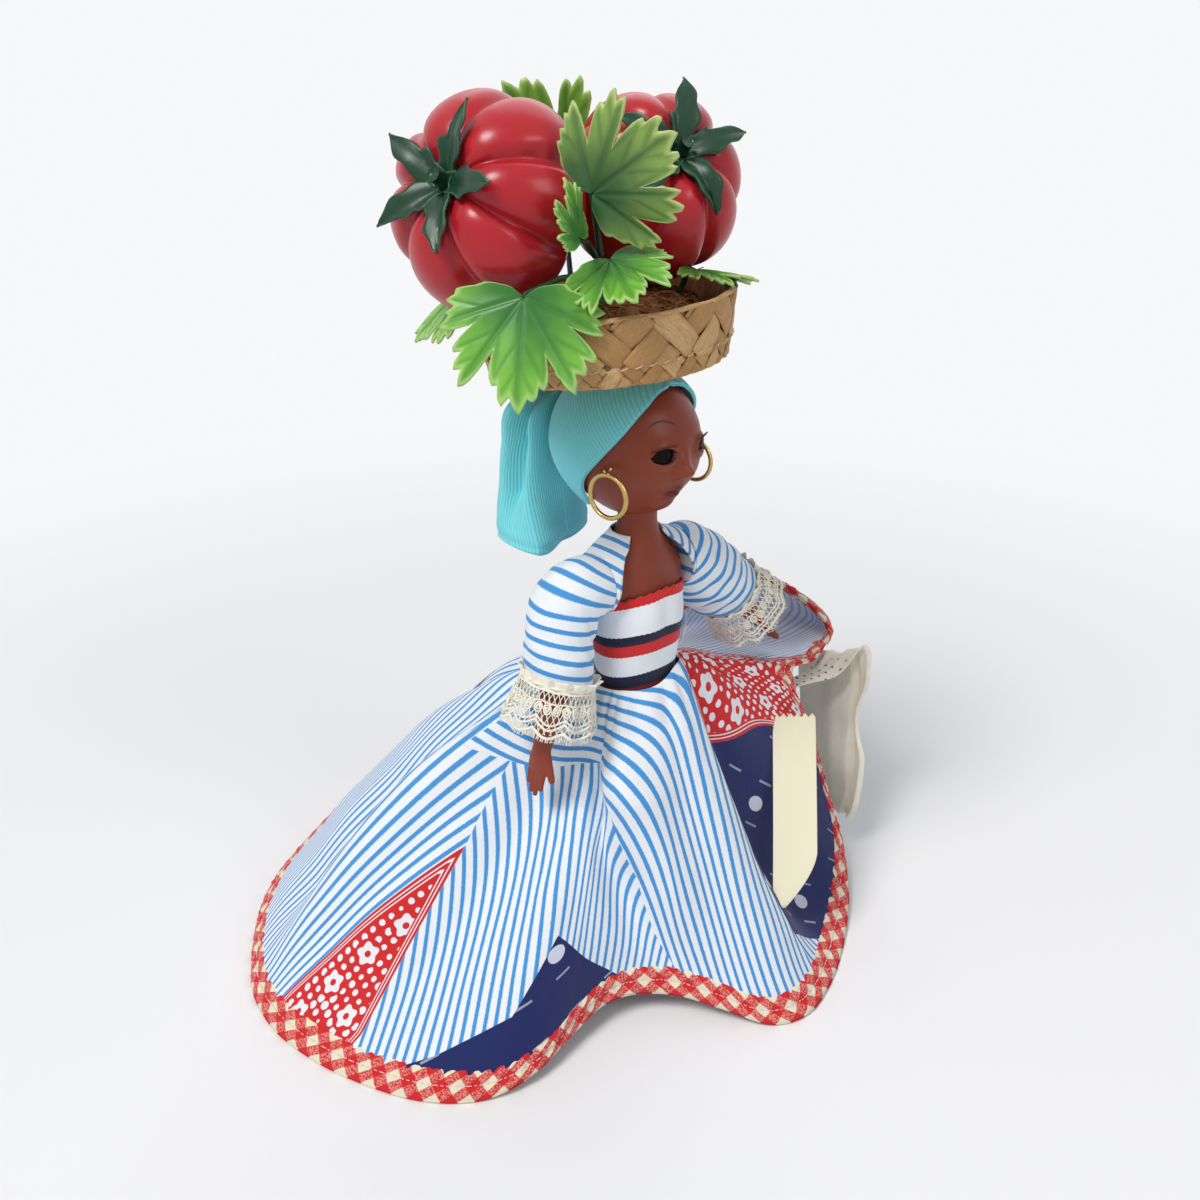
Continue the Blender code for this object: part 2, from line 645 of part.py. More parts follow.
def make_head(half, parent, skull):
    """Hollow head in the skull's frame, cut for the neck in its parent's frame and for the two eyes."""
    name = half + "_head"
    head = place(name, head_mesh(name, 0.0), skull, "brown_plastic")
    wall = head.modifiers.new("wall", "SOLIDIFY")
    wall.thickness = HEAD_WALL
    wall.offset = -1
    bottom = (0, 0, -HEAD_HALF_HEIGHT - CUT_OVERRUN)
    top = (0, 0, NECK_HEIGHT + CUT_OVERRUN - HEAD_CENTRE_HEIGHT + HEAD_HALF_HEIGHT / 2)
    neck = place(name + "_neck_hole", rod_mesh("hole", bottom, top, NECK_HOLE_RADIUS, SEGMENTS), parent)
    boolean(head, neck)
    for side, sign in (("left", 1), ("right", -1)):
        ball = place(f"{name}_{side}_ball_room", sphere_mesh("room", EYE_RADIUS + BALL_CLEARANCE), skull)
        ball.location = (sign * EYE_SPREAD, -EYE_DEPTH, EYE_RISE)
        boolean(head, ball)
    return head


def make_eyes(half, parent):
    """Two eyeballs on one axle with the weight that closes them. Its frame is on the axle."""
    name = half + "_sleep_eyes"
    right = place(name, sphere_mesh("eyeball", EYE_RADIUS), parent, "eye_plastic")
    for vert in right.data.vertices:
        vert.co.x -= EYE_SPREAD
    left_mesh = sphere_mesh("eyeball", EYE_RADIUS)
    for vert in left_mesh.vertices:
        vert.co.x += EYE_SPREAD
    axle = rod_mesh("axle", (-EYE_SPREAD, 0, 0), (EYE_SPREAD, 0, 0), EYE_AXLE_RADIUS)
    weight_place = (0, EYE_WEIGHT_BACK, -EYE_WEIGHT_DROP)
    stalk = rod_mesh("stalk", (0, 0, 0), weight_place, EYE_AXLE_RADIUS)
    weight = sphere_mesh("weight", EYE_WEIGHT_RADIUS, 8, 6)
    for vert in weight.vertices:
        vert.co += Vector(weight_place)
    for label, mesh in (("left_ball", left_mesh), ("axle", axle), ("stalk", stalk), ("weight", weight)):
        boolean(right, place(f"{name}_{label}", mesh, parent), "UNION")
    return right


def make_bodice(half, parent, finish):
    """Bodice that covers the torso from the waist to the chest."""
    rings = torso_rings(BODICE_BOTTOM, BODICE_TOP, SEAT_GAP)
    return shell(half + "_bodice", rings, CLOTH, parent, finish)


def make_jacket(parent):
    """Short jacket without its sleeves, open at the front and at the armholes."""
    rings = torso_rings(JACKET_BOTTOM, JACKET_TOP, CLOTH + 3 * SEAT_GAP)
    jacket = shell("upper_jacket", rings, CLOTH, parent, "striped_cloth")
    reach = SHOULDER_HALF_WIDTH * 2
    low, high = JACKET_BOTTOM - CUT_OVERRUN, JACKET_TOP + CUT_OVERRUN
    opening = JACKET_OPENING_HALF_WIDTH
    front = box_mesh("front", (-opening, -reach, low), (opening, 0, high))
    boolean(jacket, place("upper_jacket_front_cut", front, parent))
    armhole = SIDE_PLANE - SEAT_GAP
    for side, near, far in (("left", armhole, reach), ("right", -reach, -armhole)):
        block = box_mesh("side", (near, -reach, low), (far, reach, high))
        boolean(jacket, place(f"upper_jacket_{side}_cut", block, parent))
    return jacket


def scarf_cutter(name, parent):
    """Block in front of the slanting edge of a headscarf."""
    reach = HEAD_HALF_DEPTH * 2
    bm = bmesh.new()
    profile = (
        (-reach, HEAD_HALF_HEIGHT * 2),
        (-SCARF_EDGE_TOP - HEAD_HALF_DEPTH * 0.55, HEAD_HALF_HEIGHT * 2),
        (-SCARF_EDGE_TOP, HEAD_HALF_HEIGHT * 0.95),
        (SCARF_EDGE_BOTTOM, -HEAD_HALF_HEIGHT * 0.62),
        (SCARF_EDGE_BOTTOM, -HEAD_HALF_HEIGHT * 2),
        (-reach, -HEAD_HALF_HEIGHT * 2),
    )
    rings = [[Vector((side * reach, y, z)) for y, z in profile] for side in (-1, 1)]
    ring_grid(bm, rings, caps=True)
    return place(name, mesh_from(bm, name), parent)


def make_scarf(half, parent, finish):
    """Knitted scarf stretched over the skull, open in front of the ears and under the nape."""
    name = half + "_headscarf"
    scarf = place(name, head_mesh(name, SEAT_GAP), parent, finish)
    cloth = scarf.modifiers.new("cloth", "SOLIDIFY")
    cloth.thickness = SCARF_THICKNESS
    cloth.offset = 1
    boolean(scarf, scarf_cutter(name + "_face_cut", parent))
    reach = HEAD_HALF_DEPTH * 2
    low = box_mesh("nape", (-reach, -reach, -reach), (reach, reach, -HEAD_HALF_HEIGHT * 0.72))
    boolean(scarf, place(name + "_nape_cut", low, parent))
    return scarf


def cut_crown(scarf, parent):
    """Flat that the lower scarf stands on."""
    reach = HEAD_HALF_DEPTH * 2
    crown = HEAD_HALF_HEIGHT + SEAT_GAP + SCARF_THICKNESS - CROWN_FLAT
    top = box_mesh("crown", (-reach, -reach, crown), (reach, reach, reach))
    boolean(scarf, place(scarf.name + "_crown_cut", top, parent))


def add_pad(scarf, seat):
    """Folded pad of scarf cloth on the crown, under the basket."""
    middle = Vector((-BASKET_SIDE, -BASKET_BACK, -SEAT_GAP))
    pad = rod_mesh("pad", middle - Vector((0, 0, PAD_DEPTH)), middle, PAD_RADIUS, 12)
    boolean(scarf, place(scarf.name + "_pad", pad, seat), "UNION")


def make_tail(parent):
    """Loop of scarf cloth that hangs behind the head: a flat bag, narrow at its top."""
    top = HEAD_HALF_HEIGHT - TAIL_TOP_DROP
    rings = []
    for down, wide, thick in TAIL_SHAPE_SHARES:
        width = TAIL_NECK_HALF_WIDTH + (TAIL_HALF_WIDTH - TAIL_NECK_HALF_WIDTH) * wide
        depth = TAIL_NECK_HALF_THICKNESS + (TAIL_HALF_THICKNESS - TAIL_NECK_HALF_THICKNESS) * thick
        bow = (1 - TAIL_END_BACK_SHARE) * math.sin(math.pi * down)
        back = TAIL_BACK * (TAIL_END_BACK_SHARE + bow)
        rings.append(ring_of(width, depth, top - TAIL_LENGTH * down, SEGMENTS, (-TAIL_SIDE, back)))
    return loft("upper_scarf_tail", list(reversed(rings)), parent, "aqua_knit")


def torus_mesh(name, radius, wire, segments=18, sides=5):
    """A wire ring in the plane across X, centred below its top by its radius."""
    bm = bmesh.new()
    rings = []
    for i in range(segments + 1):
        a = 2 * math.pi * (i % segments) / segments
        out = Vector((0, math.sin(a), math.cos(a)))
        rings.append(
            [
                out * radius - Vector((0, 0, radius))
                + out * wire * math.cos(b)
                + Vector((1, 0, 0)) * wire * math.sin(b)
                for b in (2 * math.pi * k / sides for k in range(sides))
            ]
        )
    ring_grid(bm, rings)
    bmesh.ops.remove_doubles(bm, verts=bm.verts, dist=SEAT_GAP / 30)
    return mesh_from(bm, name)


def make_earring(side, skull):
    """Hoop that swings under the post that it hangs from."""
    sign = 1 if side == "left" else -1
    across, front, up = EAR_BEARING_SHARES
    lobe = head_point(Vector((across, front, up)).normalized(), SEAT_GAP)
    start = Vector((sign * lobe.x, lobe.y, lobe.z))
    end = start + Vector((sign * EAR_POST_LENGTH, 0, 0))
    post = place(f"earring_post_{side}", rod_mesh("post", start, end, EAR_POST_RADIUS, 8), skull, "brass")
    drop = Vector((0, 0, EAR_POST_RADIUS + SEAT_GAP + HOOP_WIRE_RADIUS))
    pivot = frame(f"earring_{side}_frame", Matrix.Translation((start + end) / 2 - drop), skull)
    place(f"earring_hoop_{side}", torus_mesh("hoop", HOOP_RADIUS, HOOP_WIRE_RADIUS), pivot, "brass")
    return post


def make_basket(skull):
    """Straw basket: a sewn base, a braided wall, and raffia filling, set on the crown."""
    floor = HEAD_HALF_HEIGHT + SCARF_THICKNESS + SEAT_GAP * 2 - CROWN_FLAT + BASKET_LIFT
    tilt_axis = Vector((math.cos(BASKET_TILT_BEARING), math.sin(BASKET_TILT_BEARING), 0))
    tilt = Matrix.Rotation(-BASKET_TILT, 4, tilt_axis)
    seat = frame("basket_frame", Matrix.Translation((BASKET_SIDE, BASKET_BACK, floor)) @ tilt, skull)
    base = [(0, BASKET_BASE), (BASKET_RADIUS - BASKET_WALL - SEAT_GAP, BASKET_BASE)]
    base += [(BASKET_RADIUS - BASKET_WALL - SEAT_GAP, 0), (0, 0)]
    turned("basket_base", base, seat, "straw", 28)
    wall = [
        (BASKET_RIM_RADIUS, BASKET_HEIGHT),
        (BASKET_RIM_RADIUS - BASKET_WALL / 4, BASKET_HEIGHT / 2),
        (BASKET_RADIUS, 0),
        (BASKET_RADIUS - BASKET_WALL, 0),
        (BASKET_RIM_RADIUS - BASKET_WALL / 4 - BASKET_WALL, BASKET_HEIGHT / 2),
        (BASKET_RIM_RADIUS - BASKET_WALL, BASKET_HEIGHT),
    ]
    turned("basket_wall", wall, seat, "straw", 28)
    low = BASKET_BASE + SEAT_GAP
    filler = [
        (0, low + FILLER_HEIGHT),
        (FILLER_RADIUS * 0.6, low + FILLER_HEIGHT * 0.92),
        (FILLER_RADIUS * 0.93, low + FILLER_HEIGHT * 0.6),
        (FILLER_RADIUS, low),
        (0, low),
    ]
    turned("basket_filler", filler, seat, "raffia", 24)
    return seat


def tomato_mesh(name, half_width, half_height):
    """Ribbed fruit with a dimple at both poles, its axis along Z."""
    bm = bmesh.new()
    bmesh.ops.create_uvsphere(bm, u_segments=4 * TOMATO_RIBS, v_segments=10, radius=1)
    for vert in bm.verts:
        x, y, z = vert.co
        around = math.atan2(y, x)
        flat = math.hypot(x, y)
        rib = 1 - TOMATO_RIB_SHARE * (1 - abs(math.cos(around * TOMATO_RIBS / 2))) * flat**0.5
        dimple = TOMATO_DIMPLE_SHARE * math.exp(-((flat / 0.34) ** 2))
        height = z * (1 - dimple)
        vert.co = Vector((x * half_width * rib, y * half_width * rib, height * half_height))
    return mesh_from(bm, name)


def radial_sheet(name, shares, length, thickness, bend, parent, finish, full=False):
    """Lobed sheet about its stem point: outline lengths are shares at angles from its middle line.

    It runs along local +Y, and droops towards -Z by the bend, counted at its tip.
    """
    angles = [math.radians(a) for a, _ in shares]
    lengths = [length * share for _, share in shares]
    if full:
        outline = list(zip(angles, lengths))
    else:
        outline = [(-a, r) for a, r in reversed(list(zip(angles, lengths)))][:-1] + list(zip(angles, lengths))
    steps = 2
    bm = bmesh.new()
    root = bm.verts.new((0, 0, 0))
    columns = []
    for angle, radius in outline:
        column = []
        for i in range(1, steps + 1):
            r = radius * i / steps
            column.append(bm.verts.new((r * math.sin(angle), r * math.cos(angle), -bend * (r / length) ** 2)))
        columns.append(column)
    pairs = list(zip(columns, columns[1:])) + ([(columns[-1], columns[0])] if full else [])
    for a, b in pairs:
        bm.faces.new((root, b[0], a[0]))
        for i in range(steps - 1):
            bm.faces.new((a[i], b[i], b[i + 1], a[i + 1]))
    bmesh.ops.recalc_face_normals(bm, faces=bm.faces)
    mesh = bpy.data.meshes.new(name)
    bm.to_mesh(mesh)
    bm.free()
    obj = place(name, mesh, parent, finish)
    solid = obj.modifiers.new("thickness", "SOLIDIFY")
    solid.thickness = thickness
    solid.offset = 0
    return obj


def make_tomato(name, seat, place_shares, size_shares, heading, pitch):
    """Tomato with its calyx. Heading and pitch aim the calyx end of its axis."""
    aim = Vector((math.cos(pitch) * math.cos(heading), math.cos(pitch) * math.sin(heading), math.sin(pitch)))
    turn = aim.to_track_quat("Z", "Y").to_matrix().to_4x4()
    middle = Vector(place_shares) * BASKET_RADIUS
    half_width, half_height = (share * BASKET_RADIUS for share in size_shares)
    place_of = frame(name + "_frame", Matrix.Translation(middle) @ turn, seat)
    fruit = place(name, tomato_mesh(name, half_width, half_height), place_of, "red_plastic")
    shares = []
    for i in range(5):
        middle = 72 * i
        shares += [(middle - 36, 0.20), (middle - 12, 0.42), (middle, 1.00), (middle + 12, 0.42)]
    crest = frame(name + "_calyx_frame", Matrix.Translation((0, 0, half_height * CALYX_SEAT_SHARE)), place_of)
    lift = half_height * CALYX_LIFT_SHARE
    sizes = (BASKET_RADIUS * CALYX_REACH_SHARE, CALYX_THICKNESS, -lift)
    calyx = radial_sheet(name + "_calyx", shares, *sizes, crest, "calyx_green", True)
    stem = rod_mesh("stem", (0, 0, -lift), (0, 0, CALYX_STEM_LENGTH), CALYX_STEM_RADIUS, 8)
    boolean(calyx, place(name + "_calyx_stem", stem, crest), "UNION")
    return fruit


def make_leaves(seat):
    """Leaves round the fruit, each on a wire stem that rises from the filling."""
    hub_foot = BASKET_BASE + FILLER_HEIGHT + SEAT_GAP / 2
    side, back = (share * BASKET_RADIUS for share in HUB_PLACE_SHARES)
    radius, height = (share * BASKET_RADIUS for share in HUB_SIZE_SHARES)
    hub = rod_mesh("hub", (side, back, hub_foot), (side, back, hub_foot + height), radius, 10)
    place("spray_hub", hub, seat, "calyx_green")
    for name, foot, root, tip, facing in LEAF_PLACE_SHARES:
        foot, root, tip = (Vector(point) * BASKET_RADIUS for point in (foot, root, tip))
        along = (tip - root).normalized()
        across = along.cross(Vector(facing)).normalized()
        turn = Matrix((across, along, across.cross(along))).transposed().to_4x4()
        leaf = frame(name + "_frame", Matrix.Translation(root) @ turn, seat)
        length = (tip - root).length
        droop = length * LEAF_DROOP_SHARE
        blade = radial_sheet(name, LEAF_LOBE_SHARES, length, LEAF_THICKNESS, droop, leaf, "leaf_green")
        wire_end = root + along * LEAF_WIRE_RADIUS * 2
        wire = place(name + "_wire", rod_mesh("wire", foot, wire_end, LEAF_WIRE_RADIUS, 6), seat)
        boolean(blade, wire, "UNION")


def fold_points(row):
    """The three named points of a fold line, and its point on the waist."""
    bearing = math.radians(row[0])
    across = Vector((math.cos(bearing), math.sin(bearing), 0))
    top = WAIST_HEIGHT - SKIRT_TOP_DROP
    points = [Vector((SKIRT_WAIST_HALF_WIDTH * across.x, SKIRT_WAIST_HALF_DEPTH * across.y, top))]
    for reach, height in zip(row[1::2], row[2::2]):
        points.append(across * SKIRT_REACH * reach + Vector((0, 0, WAIST_HEIGHT * height)))
    return points


def skirt_line(u):
    """Bezier points of the skirt's fold line at u, which runs from 0 to 1 round the waist."""
    count = len(FOLD_SHARES)
    place_on = u * count
    index = int(math.floor(place_on))
    t = place_on - index
    rows = [fold_points(FOLD_SHARES[(index + k) % count]) for k in (-1, 0, 1, 2)]
    return [smooth_between(*(row[k] for row in rows), t) for k in range(4)]


def above_hem(line, length):
    """Where a fold line is a length short of the hem, from 0 at the waist to 1 at the hem."""
    walked, here = 0, bezier(line, 1)
    for k in range(HEM_SAMPLES - 1, 0, -1):
        point = bezier(line, k / HEM_SAMPLES)
        step = (here - point).length
        if walked + step >= length:
            return (k + (walked + step - length) / step) / HEM_SAMPLES
        walked, here = walked + step, point
    return 0


def skirt_rings(top, bottom, row_shares):
    """Rings of the skirt from the hem up, between two functions that place a point on a fold line."""
    lines = [skirt_line(i / MERIDIANS) for i in range(MERIDIANS)]
    rings = []
    for share in reversed(row_shares):
        rings.append([bezier(line, top(line) + (bottom(line) - top(line)) * share) for line in lines])
    return rings


def make_skirt():
    """Outer skirt, lining and bound hem."""
    cloth_end = BINDING_WIDTH + HEM_GAP
    cloth_rings = skirt_rings(lambda line: 0, lambda line: above_hem(line, cloth_end), SKIRT_ROW_SHARES)
    shell("skirt_outer", cloth_rings, CLOTH, None, "striped_cloth")
    lining = shell("skirt_lining", cloth_rings[:-1], CLOTH, None, "lining_cloth", outward=False)
    sink = lining.modifiers.new("inside", "DISPLACE")
    sink.strength = -LINING_GAP
    sink.mid_level = 0
    lining.modifiers.move(1, 0)
    binding_rings = skirt_rings(lambda line: above_hem(line, BINDING_WIDTH), lambda line: 1, BINDING_ROW_SHARES)
    binding = shell("skirt_binding", binding_rings, BINDING_THICKNESS, None, "red_gingham")
    binding.modifiers["thickness"].offset = 0
    reach = 2 * SKIRT_REACH
    ground = box_mesh("ground", (-reach, -reach, -reach), (reach, reach, 0))
    boolean(binding, place("skirt_binding_ground", ground))


def make_waistband():
    """Band sewn round both waists, with the skirt gathered on its outside."""
    heights = (WAIST_HEIGHT - WAISTBAND_HALF_HEIGHT, WAIST_HEIGHT + WAISTBAND_HALF_HEIGHT)
    rings = [ring_of(WAIST_HALF_WIDTH + SEAT_GAP, WAIST_HALF_DEPTH + SEAT_GAP, height) for height in heights]
    return shell("waistband", rings, WAISTBAND_THICKNESS, None, "striped_cloth")


def skirt_place(degrees, reach, height):
    """Point at a bearing, with its reach and height as shares of the skirt's."""
    bearing = math.radians(degrees)
    out = SKIRT_REACH * reach
    return Vector((out * math.cos(bearing), out * math.sin(bearing), WAIST_HEIGHT * height))


def make_apron():
    """Eyelet apron of the lower doll, which spills out under the lifted edge of the skirt."""
    rows = []
    for degrees, reach, height, half in APRON_LINE_SHARES:
        middle = skirt_place(degrees, reach, height)
        across = Vector((-middle.y, middle.x, 0)).normalized()
        rows.append([middle + across * APRON_LENGTH * half * k / 3 for k in range(-3, 4)])
    return shell("lower_apron", rows, APRON_THICKNESS, None, "cream_lace", cyclic=False)


def make_tag():
    """Flat ribbon with a pinked top end."""
    top, foot = skirt_place(*TAG_TOP_SHARES), skirt_place(*TAG_FOOT_SHARES)
    across = Vector((math.cos(TAG_SIDE_BEARING), math.sin(TAG_SIDE_BEARING), 0)) * TAG_WIDTH
    down = (foot - top).normalized()
    edge = []
    for i in range(2 * TAG_TEETH + 1):
        edge.append(top + across * (i / (2 * TAG_TEETH) - 0.5) - down * TAG_TOOTH_DEPTH * (i % 2))
    end = [point + (foot - top) + down * TAG_TOOTH_DEPTH * (i % 2) for i, point in enumerate(edge)]
    shell("ribbon_tag", [end, edge], TAG_THICKNESS, None, "satin", cyclic=False)


def make_half(half, parent, splays, swings, sleeve_sizes, cuff_flare, turns, finishes):
    """One half doll above its waist, with its clothes. Returns the skull's frame and the headscarf."""
    bodice_finish, sleeve_finish, scarf_finish = finishes
    make_torso(half, parent)
    make_elastic(half, parent)
    make_bodice(half, parent, bodice_finish)
    reach = SHOULDER_HEIGHT * 3
    room = box_mesh("room", (-SIDE_PLANE, -reach, -reach), (SIDE_PLANE, reach, reach))
    body_room = place(half + "_body_room", room, parent)
    for side, sign in (("left", 1), ("right", -1)):
        pose = Matrix.Translation((sign * ARM_JOINT_X, 0, SHOULDER_HEIGHT))
        pose = pose @ Matrix.Rotation(-swings[side], 4, "X") @ Matrix.Rotation(-sign * splays[side], 4, "Y")
        joint = frame(f"{half}_arm_{side}_frame", pose, parent)
        make_arm(half, side, splays[side], joint)
        make_sleeve(half, side, joint, body_room, *sleeve_sizes, sleeve_finish)
        make_cuff(half, side, joint, sleeve_sizes[1], cuff_flare, "cream_lace")
    head_turn, eye_turn = turns
    head_pose = Matrix.Translation((0, 0, HEAD_CENTRE_HEIGHT)) @ Matrix.Rotation(head_turn, 4, "Z")
    head = frame(half + "_head_frame", head_pose, parent)
    skull = frame(half + "_skull_frame", Matrix.Translation((-HEAD_SIDE, HEAD_BACK, 0)), head)
    make_head(half, head, skull)
    eye_pose = Matrix.Translation((0, -EYE_DEPTH, EYE_RISE)) @ Matrix.Rotation(eye_turn, 4, "X")
    axle = frame(half + "_eye_frame", eye_pose, skull)
    make_eyes(half, axle)
    scarf = make_scarf(half, skull, scarf_finish)
    return skull, scarf


def main():
    clear_scene()
    make_materials()
    splays = {"left": LEFT_SPLAY, "right": RIGHT_SPLAY}
    lower_splays = {"left": LOWER_LEFT_SPLAY, "right": LOWER_RIGHT_SPLAY}
    still = {"left": 0, "right": 0}
    swung = {"left": LOWER_LEFT_SWING, "right": LOWER_RIGHT_SWING}
    upper = frame("upper_frame", Matrix.Translation((0, 0, WAIST_HEIGHT)))
    lower = frame("lower_frame", Matrix.Translation((0, 0, WAIST_HEIGHT)) @ Matrix.Rotation(math.pi, 4, "X"))
    make_plug()
    upper_sleeve = (UPPER_SLEEVE_RADIUS, UPPER_SLEEVE_END_RADIUS)
    lower_sleeve = (LOWER_SLEEVE_RADIUS, LOWER_SLEEVE_END_RADIUS)
    upper_finishes = ("bodice_knit", "striped_cloth", "aqua_knit")
    lower_finishes = ("red_gingham", "lining_cloth", "cream_lace")
    turns = (UPPER_HEAD_TURN, 0)
    lower_turns = (0, LOWER_EYE_TURN)
    upper_clothes = (upper_sleeve, CUFF_FLARE, turns, upper_finishes)
    skull, scarf = make_half("upper", upper, splays, still, *upper_clothes)
    lower_clothes = (lower_sleeve, LOWER_CUFF_FLARE, lower_turns, lower_finishes)
    lower_skull, lower_scarf = make_half("lower", lower, lower_splays, swung, *lower_clothes)
    cut_crown(lower_scarf, lower_skull)
    make_jacket(upper)
    make_tail(skull)
    for side in ("left", "right"):
        make_earring(side, skull)
    seat = make_basket(skull)
    add_pad(scarf, seat)
    make_tomato(
        "tomato_big", seat, TOMATO_PLACE_SHARES, TOMATO_SIZE_SHARES, TOMATO_HEADING, TOMATO_PITCH,
    )
    make_tomato(
        "tomato_small", seat, SMALL_TOMATO_PLACE_SHARES, SMALL_TOMATO_SIZE_SHARES,
        SMALL_TOMATO_HEADING, SMALL_TOMATO_PITCH,
    )
    make_leaves(seat)
    make_skirt()
    make_waistband()
    make_apron()
    make_tag()


main()
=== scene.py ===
"""Looks of the topsy turvy doll: cloth, straw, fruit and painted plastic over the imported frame. Units are metres."""

import math

import bpy
import numpy as np
from mathutils import Euler, Matrix, Vector


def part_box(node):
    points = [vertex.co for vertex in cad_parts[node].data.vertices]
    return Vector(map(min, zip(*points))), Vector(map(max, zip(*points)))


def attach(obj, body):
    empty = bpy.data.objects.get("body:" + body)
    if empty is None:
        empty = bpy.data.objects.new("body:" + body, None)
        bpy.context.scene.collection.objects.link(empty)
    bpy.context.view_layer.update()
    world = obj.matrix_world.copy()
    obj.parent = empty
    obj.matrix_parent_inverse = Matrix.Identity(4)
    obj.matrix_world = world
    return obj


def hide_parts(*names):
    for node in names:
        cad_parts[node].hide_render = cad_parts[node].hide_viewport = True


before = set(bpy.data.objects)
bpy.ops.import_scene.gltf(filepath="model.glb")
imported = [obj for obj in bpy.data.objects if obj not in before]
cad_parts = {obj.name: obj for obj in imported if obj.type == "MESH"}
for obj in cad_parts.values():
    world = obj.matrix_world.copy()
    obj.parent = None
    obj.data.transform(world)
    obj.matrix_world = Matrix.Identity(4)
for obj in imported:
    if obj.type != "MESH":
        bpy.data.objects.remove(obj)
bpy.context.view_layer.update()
MM = 0.001
WAIST = 0.083
SHOULDER = 0.0325
ARM_JOINT_X = 0.0186
HEAD_CENTRE = 0.0648
BASKET_RADIUS = 0.027
BASKET_HEIGHT = 0.0146
SIDES = (("left", 1), ("right", -1))
BODY = "joined_torsos"
HEAD = "upper_head_body"
UPPER = Matrix.Translation((0, 0, WAIST))
LOWER = UPPER @ Matrix.Rotation(math.pi, 4, "X")
HEAD_OFFSET = Matrix.Translation((-0.001, 0.0022, 0))
UPPER_SKULL = UPPER @ Matrix.Translation((0, 0, HEAD_CENTRE)) @ Matrix.Rotation(math.radians(10), 4, "Z") @ HEAD_OFFSET
LOWER_SKULL = LOWER @ Matrix.Translation((0, 0, HEAD_CENTRE)) @ HEAD_OFFSET
TILT_AXIS = Vector((math.cos(math.radians(48)), math.sin(math.radians(48)), 0))
SEAT = UPPER_SKULL @ Matrix.Translation((-0.004, 0.003, 0.0197)) @ Matrix.Rotation(math.radians(-5), 4, TILT_AXIS)


def arm_frame(half, side, swing, splay):
    """Frame of an arm: its shoulder is at the origin and it runs down -Z."""
    sign = dict(SIDES)[side]
    place = Matrix.Translation((sign * ARM_JOINT_X, 0, SHOULDER))
    swung = Matrix.Rotation(math.radians(-swing), 4, "X")
    return half @ place @ swung @ Matrix.Rotation(math.radians(-sign * splay), 4, "Y")


ARMS = {
    ("upper", "left"): arm_frame(UPPER, "left", 0, 45),
    ("upper", "right"): arm_frame(UPPER, "right", 0, 18),
    ("lower", "left"): arm_frame(LOWER, "left", 60, 72),
    ("lower", "right"): arm_frame(LOWER, "right", 100, 20),
}


# Materials


class Finish:
    """A Principled material and short names for the nodes that colour it."""

    def __init__(self, name, colour=(0.5, 0.5, 0.5), roughness=0.8, **values):
        self.material = bpy.data.materials.new(name)
        self.material.use_nodes = True
        self.tree = self.material.node_tree
        self.shader = self.tree.nodes["Principled BSDF"]
        self.set(Base_Color=colour, Roughness=roughness, Specular_IOR_Level=0.25)
        self.set(**values)

    def put(self, socket, value):
        if isinstance(value, bpy.types.NodeSocket):
            self.tree.links.new(value, socket)
        elif isinstance(value, tuple) and len(value) == 3 and len(socket.default_value) == 4:
            socket.default_value = (*value, 1)
        else:
            socket.default_value = value

    def set(self, **values):
        for name, value in values.items():
            self.put(self.shader.inputs[name.replace("_", " ")], value)
        return self

    def node(self, kind, inputs=(), **settings):
        made = self.tree.nodes.new("ShaderNode" + kind)
        for name, value in settings.items():
            setattr(made, name, value)
        for socket, value in zip(made.inputs, inputs):
            if value is not None:
                self.put(socket, value)
        return made

    def math(self, operation, *values):
        return self.node("Math", values, operation=operation).outputs[0]

    def attribute(self, name):
        return self.node("Attribute", attribute_name=name).outputs["Fac"]

    def mix(self, share, a, b):
        made = self.node("Mix", data_type="RGBA")
        for index, value in ((0, share), (6, a), (7, b)):
            self.put(made.inputs[index], value)
        return made.outputs[2]

    def rise(self, value, start, end):
        """0 below start, 1 above end, smooth between."""
        return self.node("MapRange", (value, start, end, 0.0, 1.0), interpolation_type="SMOOTHSTEP").outputs[0]

    def noise(self, scale, detail=2.0, vector=None):
        made = self.node("TexNoise")
        made.inputs["Scale"].default_value = scale
        made.inputs["Detail"].default_value = detail
        vector = vector or self.node("TexCoord").outputs["Object"]
        self.put(made.inputs["Vector"], vector)
        return made.outputs[0]

    def bump(self, height, strength=0.3, distance=0.0003):
        made = self.node("Bump", (strength, distance))
        self.put(made.inputs["Height"], height)
        self.put(self.shader.inputs["Normal"], made.outputs[0])
        return self

    def repeat(self, value, period):
        """Distance from the middle of the nearest repeat, from 0 to half a period."""
        return self.math("PINGPONG", value, period / 2)


WHITE_KNIT = (0.80, 0.84, 0.88)
BLUE = (0.06, 0.29, 0.65)
PALE_BLUE = (0.42, 0.56, 0.84)
RED = (0.62, 0.02, 0.022)
NAVY = (0.012, 0.020, 0.11)
CREAM = (0.80, 0.74, 0.56)


def stripe_colour(f, across, white=WHITE_KNIT, blue=BLUE, pitch=3.6, share=0.34):
    """Printed stripes from a distance in millimetres."""
    ragged = f.math("MULTIPLY_ADD", f.noise(2600, 1), 0.26, f.math("SUBTRACT", across, 0.13))
    middle = f.repeat(ragged, pitch)
    return f.mix(f.rise(middle, pitch / 2 * share * 0.75, pitch / 2 * share * 1.25), blue, white)


def knit_bump(f, scale=1500, strength=0.35):
    return f.bump(f.noise(scale, 2), strength, 0.00025)


def striped(name, **values):
    f = Finish(name, roughness=0.85, Sheen_Weight=0.15)
    f.set(Base_Color=stripe_colour(f, f.attribute("across"), **values))
    return knit_bump(f).material


